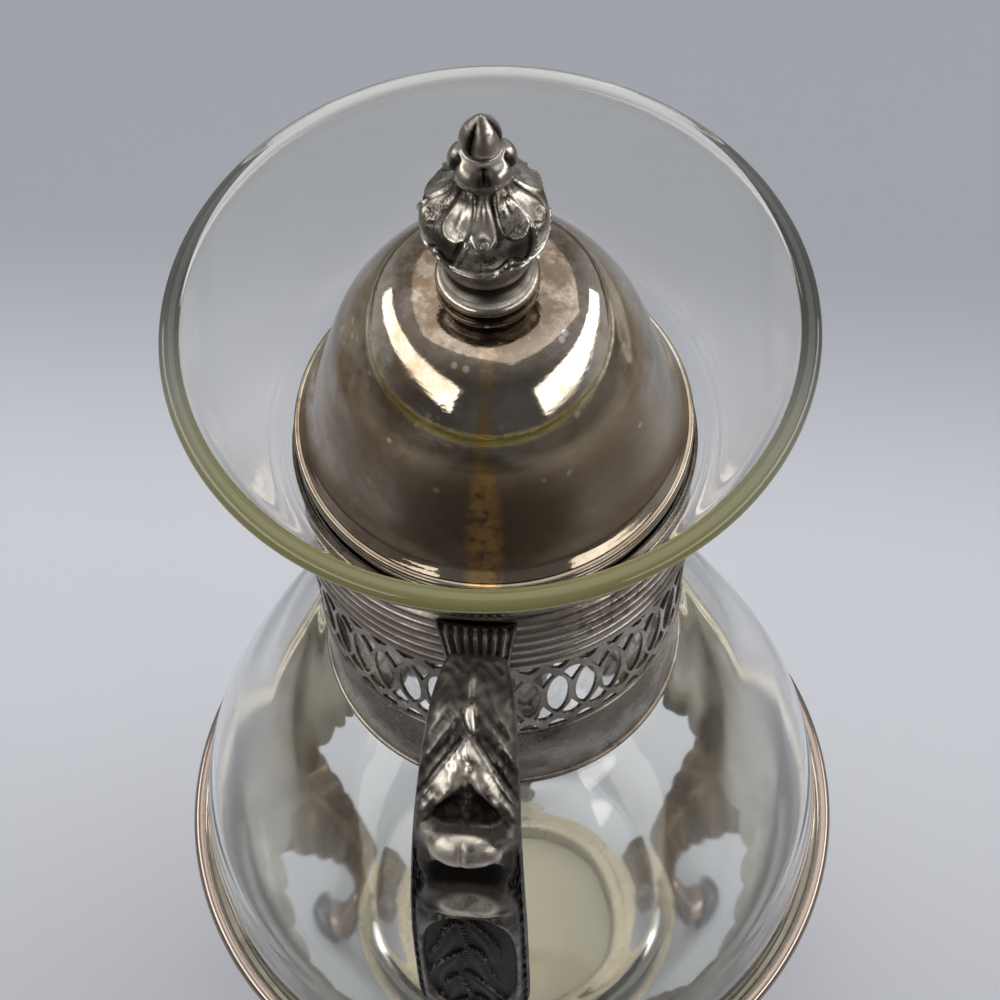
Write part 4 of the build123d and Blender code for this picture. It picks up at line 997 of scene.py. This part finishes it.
# %% Relief of the finial
def finial_relief(a, r, z):
    """Height of the knob's face at an angle, a distance from the axis and a height."""
    relief = 0.0
    if z > 364.0:
        crease = 1 - abs(cos(1.5 * (a + radians(62)))) ** 0.35
        relief += (0.25 - 1.35 * crease) * ease(364.2, 365.2, z) * (1 - ease(369.8, 371.2, z))
    elif z > 358.6:
        lobe = abs(cos(2.5 * (a + radians(118))))
        relief += (1.35 * lobe**0.7 - 1.0) * ease(358.6, 359.6, z) * (1 - ease(362.8, 363.6, z))
        relief += 0.40 * bump(z - 359.7 - 0.8 * (1 - lobe), 0.28) * ease(0.25, 0.6, lobe)
    if 352.6 < z < 358.0:
        relief += 0.20 * cos(10 * (a + radians(118))) * ease(352.8, 354.2, z) * (1 - ease(356.9, 357.6, z))
    for k in range(5):
        relief += 0.5 * petal(a, r, z, radians(-86 + 72 * k), 350.8, 356.4, 2.1, 0.30)
        over = 0.75 * petal(a, r, z, radians(-118 + 72 * k), 350.9, 357.2, 2.9, 0.50)
        relief = max(relief, over) if over > 0.05 else relief
    relief += 0.30 * cos(5 * around(a, radians(-88))) * bump(z - 347.8, 4.5)
    for k in range(5):
        middle = radians(-86 + 72 * k)
        d = hypot(around(a, middle) * r, (z - 351.5) * 1.15)
        relief += 0.34 * bump(d - 1.05, 0.34) + 0.30 * bump(d, 0.45) - 0.15 * bump(d - 0.6, 0.25)
    if 340.6 < z < 352.0:
        notch = max(bump(degrees(around(a, radians(-62 + 72 * k))), 10.0) for k in range(5))
        for fold, height in ((343.0 + 1.9 * notch, 0.42), (344.9 + 2.3 * notch, 0.50)):
            relief += height * bump(z - fold, 0.34) - 0.45 * bump(z - fold - 0.75, 0.38)
        for k in range(5):
            seam = around(a, radians(-112 + 1.82 * (z - 346.0) + 72 * k)) * r
            relief += 0.60 * bump(seam, 0.30) * ease(344.8, 346.0, z) * (1 - ease(351.0, 352.0, z))
            relief -= 0.40 * bump(seam + 0.8, 0.45) * ease(344.8, 346.0, z) * (1 - ease(351.0, 352.0, z))
            vein = around(a, radians(-88 + 72 * k)) * r
            relief -= 0.22 * bump(vein, 0.30) * ease(344.5, 345.5, z) * (1 - ease(347.6, 348.6, z))
    return relief * ease(337.2, 338.4, z)


print("relief round the lobes:", [round(finial_relief(radians(a), 5.0, 361.0), 2) for a in (-118, -100, -82)])

# %% [markdown]
# The outline is turned with the relief added to its radius. Near the tip the relief fades out, so
# that the points don't cross the axis. The same relief gives the finish its light and dark places.

# %% The finial and its turned base
FINIAL_TURNS = 220
TIP = 2.2


def finial_shape(a, r, z):
    if r >= TIP:
        return r + finial_relief(a, r, z), z
    return (r + finial_relief(a, r, z) * 0.5 * ease(0.3, TIP, r), z) if z > 360 else (r, z)


closed_finial = [(2.15, 337.0)] + finial_line[1:]
finial_outline = list(reversed(closed_finial)) + [(2.12, 349.2), (0.0, 349.3)]
finial_mesh = lathe(finial_outline, FINIAL_TURNS, finial_shape)
finial_heights = []
for r, z in finial_outline:
    for i in range(FINIAL_TURNS if r >= 1e-4 else 1):
        relief = finial_relief(2 * pi * i / FINIAL_TURNS, max(r, 0.1), z)
        finial_heights.append(min(1.0, max(0.0, 0.42 + 0.85 * relief)))
make_piece("leafy_cast_finial", finial_mesh, "lid", "finial_cast", ["finial"], finial_heights, 70)

ring = [(2.1, 330.5), (7.4, 330.5)] + arc((7.3, 331.95), 1.35, -70, 80, 12)
ring += smooth_line([(7.3, 333.4), (6.5, 334.3), (6.2, 335.4), (6.6, 336.5), (7.1, 337.0)], 6) + [(2.1, 337.0)]
ring_heights = [min(1.0, max(0.0, 0.16 + 0.20 * (r - 6.2))) for r, z in ring for i in range(180)]
make_piece("turned_finial_base", lathe(ring, 180), "lid", "finial_cast", ["finial_base"], ring_heights, 50)

# %% [markdown]
# ## The stand's rim and gallery
# The belly rests in a spun band with a polished bead on top. The band's lower edge is cut into
# fine scallops. The band is a thin shell, so it is made as a closed sheet of two faces, with the
# lower edge moved up and down by the scallops.

# %% Rim and gallery
GALLERY = 71.35
SHEET = 0.9
RIM_HEIGHT = 122.4
rim_r = sqrt((GALLERY + SHEET) ** 2 - (BOWL_HEIGHT - RIM_HEIGHT) ** 2) + 2.0
rim_line = arc((rim_r, RIM_HEIGHT), 1.88, 150, -110, 26)
rim_line += [
    (72.7, 119.9), (72.1, 118.0), (71.6, 116.0), (70.95, 114.6), (70.3, 114.9), (70.9, 117.6), (71.0, 119.9),
    (70.35, 120.6), (70.2, 121.6), (70.5, 122.5), (71.2, 122.9),
]
make_piece("beaded_stand_rim", lathe(rim_line, 300), "stand", "stand_silver", ["stand_rim"], sharp=50)

SCALLOPS = 36
gallery_rings = []
for i in range(576):
    a = 2 * pi * i / 576
    wave = abs(cos(SCALLOPS / 2 * a))
    low = 89.6 + 1.9 * (1 - wave) ** 1.4 + 0.35 * sin(3 * a)
    heights = [low + (120.6 - low) * (k / 18) for k in range(19)]
    ring = []
    for face, levels in ((GALLERY, heights), (GALLERY + SHEET, heights[::-1])):
        for z in levels:
            r = sqrt(face**2 - (BOWL_HEIGHT - z) ** 2)
            ring.append((r * cos(a), r * sin(a), z))
    gallery_rings.append(ring)
gallery_shape = loft_rings(gallery_rings + [gallery_rings[0]], False)
gallery = make_piece("scalloped_gallery", gallery_shape, "stand", "stand_silver", ["stand_gallery"], sharp=50)
shaper = bmesh.new()
shaper.from_mesh(gallery.data)
bmesh.ops.remove_doubles(shaper, verts=shaper.verts, dist=1e-6)
shaper.to_mesh(gallery.data)
shaper.free()

# %% [markdown]
# ## The leaf legs
# Each leg is a stamped strap, wide and leaf-shaped where it is riveted to the gallery, narrow at
# its waist, and curved out to its foot. Its edge has small lobes, and a rib with side veins runs
# down it. The path, the width and the relief are worked out once for all five.

# %% The leg's path, width and relief
leg_path = smooth_line([
    (70.15, 111.5), (66.6, 101.9), (59.5, 89.6), (51.9, 79.2), (44.2, 65.4), (38.3, 51.6), (36.3, 43.6), (36.2, 36.0),
    (37.9, 30.1), (42.9, 19.2), (51.2, 13.3),
], 14)
leg_lengths = [0.0]
for (r0, z0), (r1, z1) in zip(leg_path, leg_path[1:]):
    leg_lengths.append(leg_lengths[-1] + hypot(r1 - r0, z1 - z0))
LEG_TURN = 7.0
LEG_ACROSS = 40
STRAP_HALF = 0.62


def leg_half_width(s, side):
    """Half the strap's width at s below its top: a leaf with lobed edges, then a narrow strap."""
    body = 17.2 * (1 - ease(6.0, 62.0, s)) + 5.4 * ease(6.0, 62.0, s)
    body += 1.4 * bump(s - 8.0, 9.0)
    lobe = abs(sin(pi * (s + side * 1.2) / 7.6))
    return body + (1.1 * lobe - 0.6) * (1 - ease(45.0, 58.0, s))


def leg_relief(s, u):
    """The rib and the side veins of the leaf."""
    x = abs(u) * leg_half_width(s, 1)
    leaf = 1 - ease(50.0, 62.0, s)
    rib = 0.55 * bump(x, 1.2)
    vein = 0.28 * bump(((s - 0.75 * x) % 8.0) - 4.0, 1.0) * ease(1.5, 3.5, x) * leaf
    return rib + vein


print("leg length, mm:", round(leg_lengths[-1], 1))

# %% [markdown]
# The strap is a tube of thin sections along the path, and the relief lifts both its faces, because
# it was pressed from sheet. The same strap is made five times, turned about the axis: three legs
# face the far side and the sides, and two stand under the handle.


# %% Five turned legs
def make_leg(name, turn, node):
    rings, heights = [], []
    for k, (r, z) in enumerate(leg_path):
        (r0, z0), (r1, z1) = leg_path[max(k - 1, 0)], leg_path[min(k + 1, len(leg_path) - 1)]
        length = hypot(r1 - r0, z1 - z0)
        out = (-(z1 - z0) / length, (r1 - r0) / length)
        s = leg_lengths[k]
        front, back = [], []
        for i in range(LEG_ACROSS + 1):
            u = 2 * i / LEG_ACROSS - 1
            wide = leg_half_width(s, 1 if u > 0 else -1)
            raised = leg_relief(s, u)
            edge = 1 - 0.5 * ease(0.93, 1.0, abs(u))
            a = radians(turn) + u * wide / r
            for side, row in ((1, front), (-1, back)):
                lift = side * STRAP_HALF * edge + raised * 0.8
                far = r + out[0] * lift
                row.append((far * cos(a), far * sin(a), z + out[1] * lift))
            heights.append(min(1.0, 0.40 + 0.7 * raised))
        rings.append(front + list(reversed(back)))
        heights += heights[-(LEG_ACROSS + 1):][::-1]
    return make_piece(name, loft_rings(rings), "stand", "leg_copper", [node], heights, 60)


leg_sides = ["back", "left", "front_left", "front_right", "right"]
leg_turns = {side: 90 + LEG_TURN + 72 * k for k, side in enumerate(leg_sides)}
for side, turn in leg_turns.items():
    make_leg(f"leaf_leg_{side}", turn, f"leg_{side}")

# %% [markdown]
# ## The ball feet
# The legs end in cast balls with a flat below. Each has two shallow rings turned into it, which
# keep it from looking like a plain sphere.

# %% Feet
FOOT = 7.8
FOOT_CIRCLE = 55.5
foot_middle = sqrt(FOOT**2 - 16.0)
for side, turn in leg_turns.items():
    outline = [(0.0, 0.0), (3.4, 0.0)]
    for k in range(4, 60):
        a = radians(-90 + 3 * k)
        r = FOOT * cos(a)
        z = foot_middle + FOOT * sin(a)
        groove = 0.28 * (bump(z - foot_middle - 1.6, 0.35) + bump(z - foot_middle + 1.6, 0.35))
        if z > 0.02:
            outline.append((r - groove, z))
    outline.append((0.0, foot_middle + FOOT))
    points, faces = lathe(outline, 96)
    x0, y0 = FOOT_CIRCLE * cos(radians(turn)), FOOT_CIRCLE * sin(radians(turn))
    moved = [(x + x0, y + y0, z) for x, y, z in points]
    make_piece(f"ball_foot_{side}", (moved, faces), "stand", "foot_iron", [f"foot_{side}"], sharp=50)

# %% [markdown]
# ## The burner cup
# The candle burns in a small spun cup with a rolled flange. Its inside is polished and shows as a
# pale, yellowish pool under the glass.

# %% Burner cup
cup_floor = 20.5
cup = [(0.0, cup_floor), (22.0, cup_floor), (24.6, cup_floor)] + arc((24.9, cup_floor + 2.5), 2.5, -80, 0, 8)
cup += [(27.4, 30.0), (27.4, 41.9), (27.7, 42.5), (30.2, 42.5)] + arc((30.4, 42.95), 0.45, -90, 90, 8)
cup += [(28.0, 43.3), (27.0, 43.25), (26.6, 42.9), (26.6, 30.0)] + arc((24.6, cup_floor + 2.8), 2.0, 0, -90, 8)
cup += [(20.0, cup_floor + 0.8), (0.0, cup_floor + 0.8)]
make_piece("spun_burner_cup", lathe(cup, 200), "burner", "stand_silver", ["burner_cup"], sharp=50)

# %% [markdown]
# ## Table, light and camera
# The camera looks from the handle's side, steeply from above, at a pale grey table whose colour
# holds painted shade: lighter near the object and darker towards the wall. Polished metal shows the
# whole room, so the room matters as much as the lamps: a long low window stands on each side and
# gives the bright curved streaks on the lid's shoulder. For reflections only, the table's ends are
# painted dark, a painted reflection that keeps the lid's front deep and brown, as a room with few
# lamps would.

# %% Table
table_top = bpy.data.meshes.new("table_top")
corners = [(-3.0, -3.0, 0), (3.0, -3.0, 0), (3.0, 3.0, 0), (-3.0, 3.0, 0)]
table_top.from_pydata(corners, [], [(0, 1, 2, 3)])
table = bpy.data.objects.new("table_top", table_top)
table.location.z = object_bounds()[0].z - 0.0002
bpy.context.scene.collection.objects.link(table)
paper = Finish("pale_grey_paper_painted_shade")
across, along, _ = paper.parts()
# Painted shade: the table is lightest near the object, and darker towards the wall and on the near side.
painted_shade_tone = paper.mix(paper.step(along, 0.13, 0.27), (0.50, 0.52, 0.57), (0.29, 0.305, 0.34))
painted_shade_tone = paper.mix(paper.step(along, 0.45, 0.9), painted_shade_tone, (0.36, 0.375, 0.41))
painted_shade_tone = paper.mix(paper.step(along, 0.10, -0.06), painted_shade_tone, (0.41, 0.425, 0.46))
seen = painted_shade_tone
# Painted reflection: for glossy rays only, the near end and the sides of the table are painted dark, so the metal
# reflects a dark room there.
painted_shade_tone = paper.mix(paper.step(along, -0.20, -0.42), painted_shade_tone, (0.07, 0.06, 0.05))
painted_shade_tone = paper.mix(paper.step(paper.calc("ABSOLUTE", across), 0.26, 0.60), painted_shade_tone, (0.20, 0.185, 0.165))
mirrored = paper.add("ShaderNodeLightPath").outputs["Is Glossy Ray"]
painted_shade_tone = paper.mix(mirrored, seen, painted_shade_tone)
paper.set("Base Color", paper.mix(paper.noise(4.0), painted_shade_tone, (0.50, 0.50, 0.50), "SOFT_LIGHT"))
paper.set("Roughness", 0.85)
table_top.materials.append(paper.material)
print("table at height, m:", round(table.location.z, 4))

# %% [markdown]
# Three large soft lamps light the object: one above, as from a bright ceiling, and a low long one
# on each side. Large lamps give soft shadows, and their shapes are what the polished lid reflects.

# %% Lamps
def soft_lamp(name, turn, rise, distance, size, watts, colour=(1.0, 1.0, 1.0)):
    """A soft rectangle of light that faces the object from a side, at a height, both in degrees."""
    target = Vector((0.0, 0.0, 0.25))
    way = Vector((cos(radians(turn)) * cos(radians(rise)), sin(radians(turn)) * cos(radians(rise)), sin(radians(rise))))
    lamp = bpy.data.lights.new(name, "AREA")
    lamp.shape = "RECTANGLE"
    lamp.size, lamp.size_y = size
    lamp.energy = watts
    lamp.color = colour
    holder = bpy.data.objects.new(name, lamp)
    holder.location = target + way * distance
    holder.rotation_mode = "QUATERNION"
    holder.rotation_quaternion = (-way).to_track_quat("-Z", "Y")
    bpy.context.scene.collection.objects.link(holder)
    print(name, watts, "W")


soft_lamp("ceiling_light", 60, 74, 1.5, (1.9, 1.9), 12.0, (1.0, 0.97, 0.92))
soft_lamp("left_window", -160, 27, 1.2, (2.5, 0.44), 11.5, (1.0, 0.98, 0.95))
soft_lamp("right_window", -6, 18, 1.2, (2.2, 0.40), 10.0, (1.0, 0.98, 0.95))

# %% [markdown]
# The rest of the room is a plain background that grows lighter to the far side and overhead, so
# that metal which faces away from the lamps still has something to reflect.

# %% The room round the object
sky = bpy.data.worlds.new("plain_room")
sky.use_nodes = True
bpy.context.scene.world = sky
tree = sky.node_tree
where = tree.nodes.new("ShaderNodeTexCoord")
split = tree.nodes.new("ShaderNodeSeparateXYZ")
tree.links.new(where.outputs["Generated"], split.inputs[0])


def shade(value, low, high, to_low, to_high):
    node = tree.nodes.new("ShaderNodeMapRange")
    node.interpolation_type = "SMOOTHSTEP"
    for socket, number in zip(("From Min", "From Max", "To Min", "To Max"), (low, high, to_low, to_high)):
        node.inputs[socket].default_value = number
    tree.links.new(value, node.inputs["Value"])
    return node.outputs[0]


walls = shade(split.outputs[1], -0.75, 0.25, 0.10, 0.52)
overhead = shade(split.outputs[2], 0.45, 0.95, 0.0, 0.22)
total = tree.nodes.new("ShaderNodeMath")
total.operation = "ADD"
tree.links.new(walls, total.inputs[0])
tree.links.new(overhead, total.inputs[1])
background = tree.nodes["Background"]
tree.links.new(total.outputs[0], background.inputs["Strength"])
background.inputs["Color"].default_value = (0.97, 0.97, 1.0, 1.0)

print("room:", len(tree.nodes), "nodes")

# %% [markdown]
# The camera's place was solved from circles that are level and share the carafe's axis: each is
# seen as an ellipse, and only one camera sees them all as in the photograph. It looks down
# steeply, so the table fills the picture.

# %% Camera: solved from the circles of the mouth, lid, collar and stand in the photograph
pitch, roll, azimuth = radians(58.87), radians(-2.5), radians(97.0)
forward = Vector((cos(azimuth) * cos(pitch), sin(azimuth) * cos(pitch), -sin(pitch)))
level = Vector((sin(azimuth), -cos(azimuth), 0.0))
down = forward.cross(level)
right = cos(roll) * level - sin(roll) * down
below = sin(roll) * level + cos(roll) * down
camera_data = bpy.data.cameras.new("viewer")
camera_data.sensor_width = 36.0
camera_data.lens = 86.4
camera = bpy.data.objects.new("viewer", camera_data)
turned = Matrix((right, -below, -forward)).transposed().to_4x4()
camera.matrix_world = Matrix.Translation(Vector((0.0290, -0.2326, 0.6483))) @ turned
bpy.context.scene.collection.objects.link(camera)
bpy.context.scene.camera = camera
bpy.context.scene.view_settings.view_transform = "Standard"
print("camera at, m:", [round(v, 3) for v in camera.matrix_world.translation])

# %% [markdown]
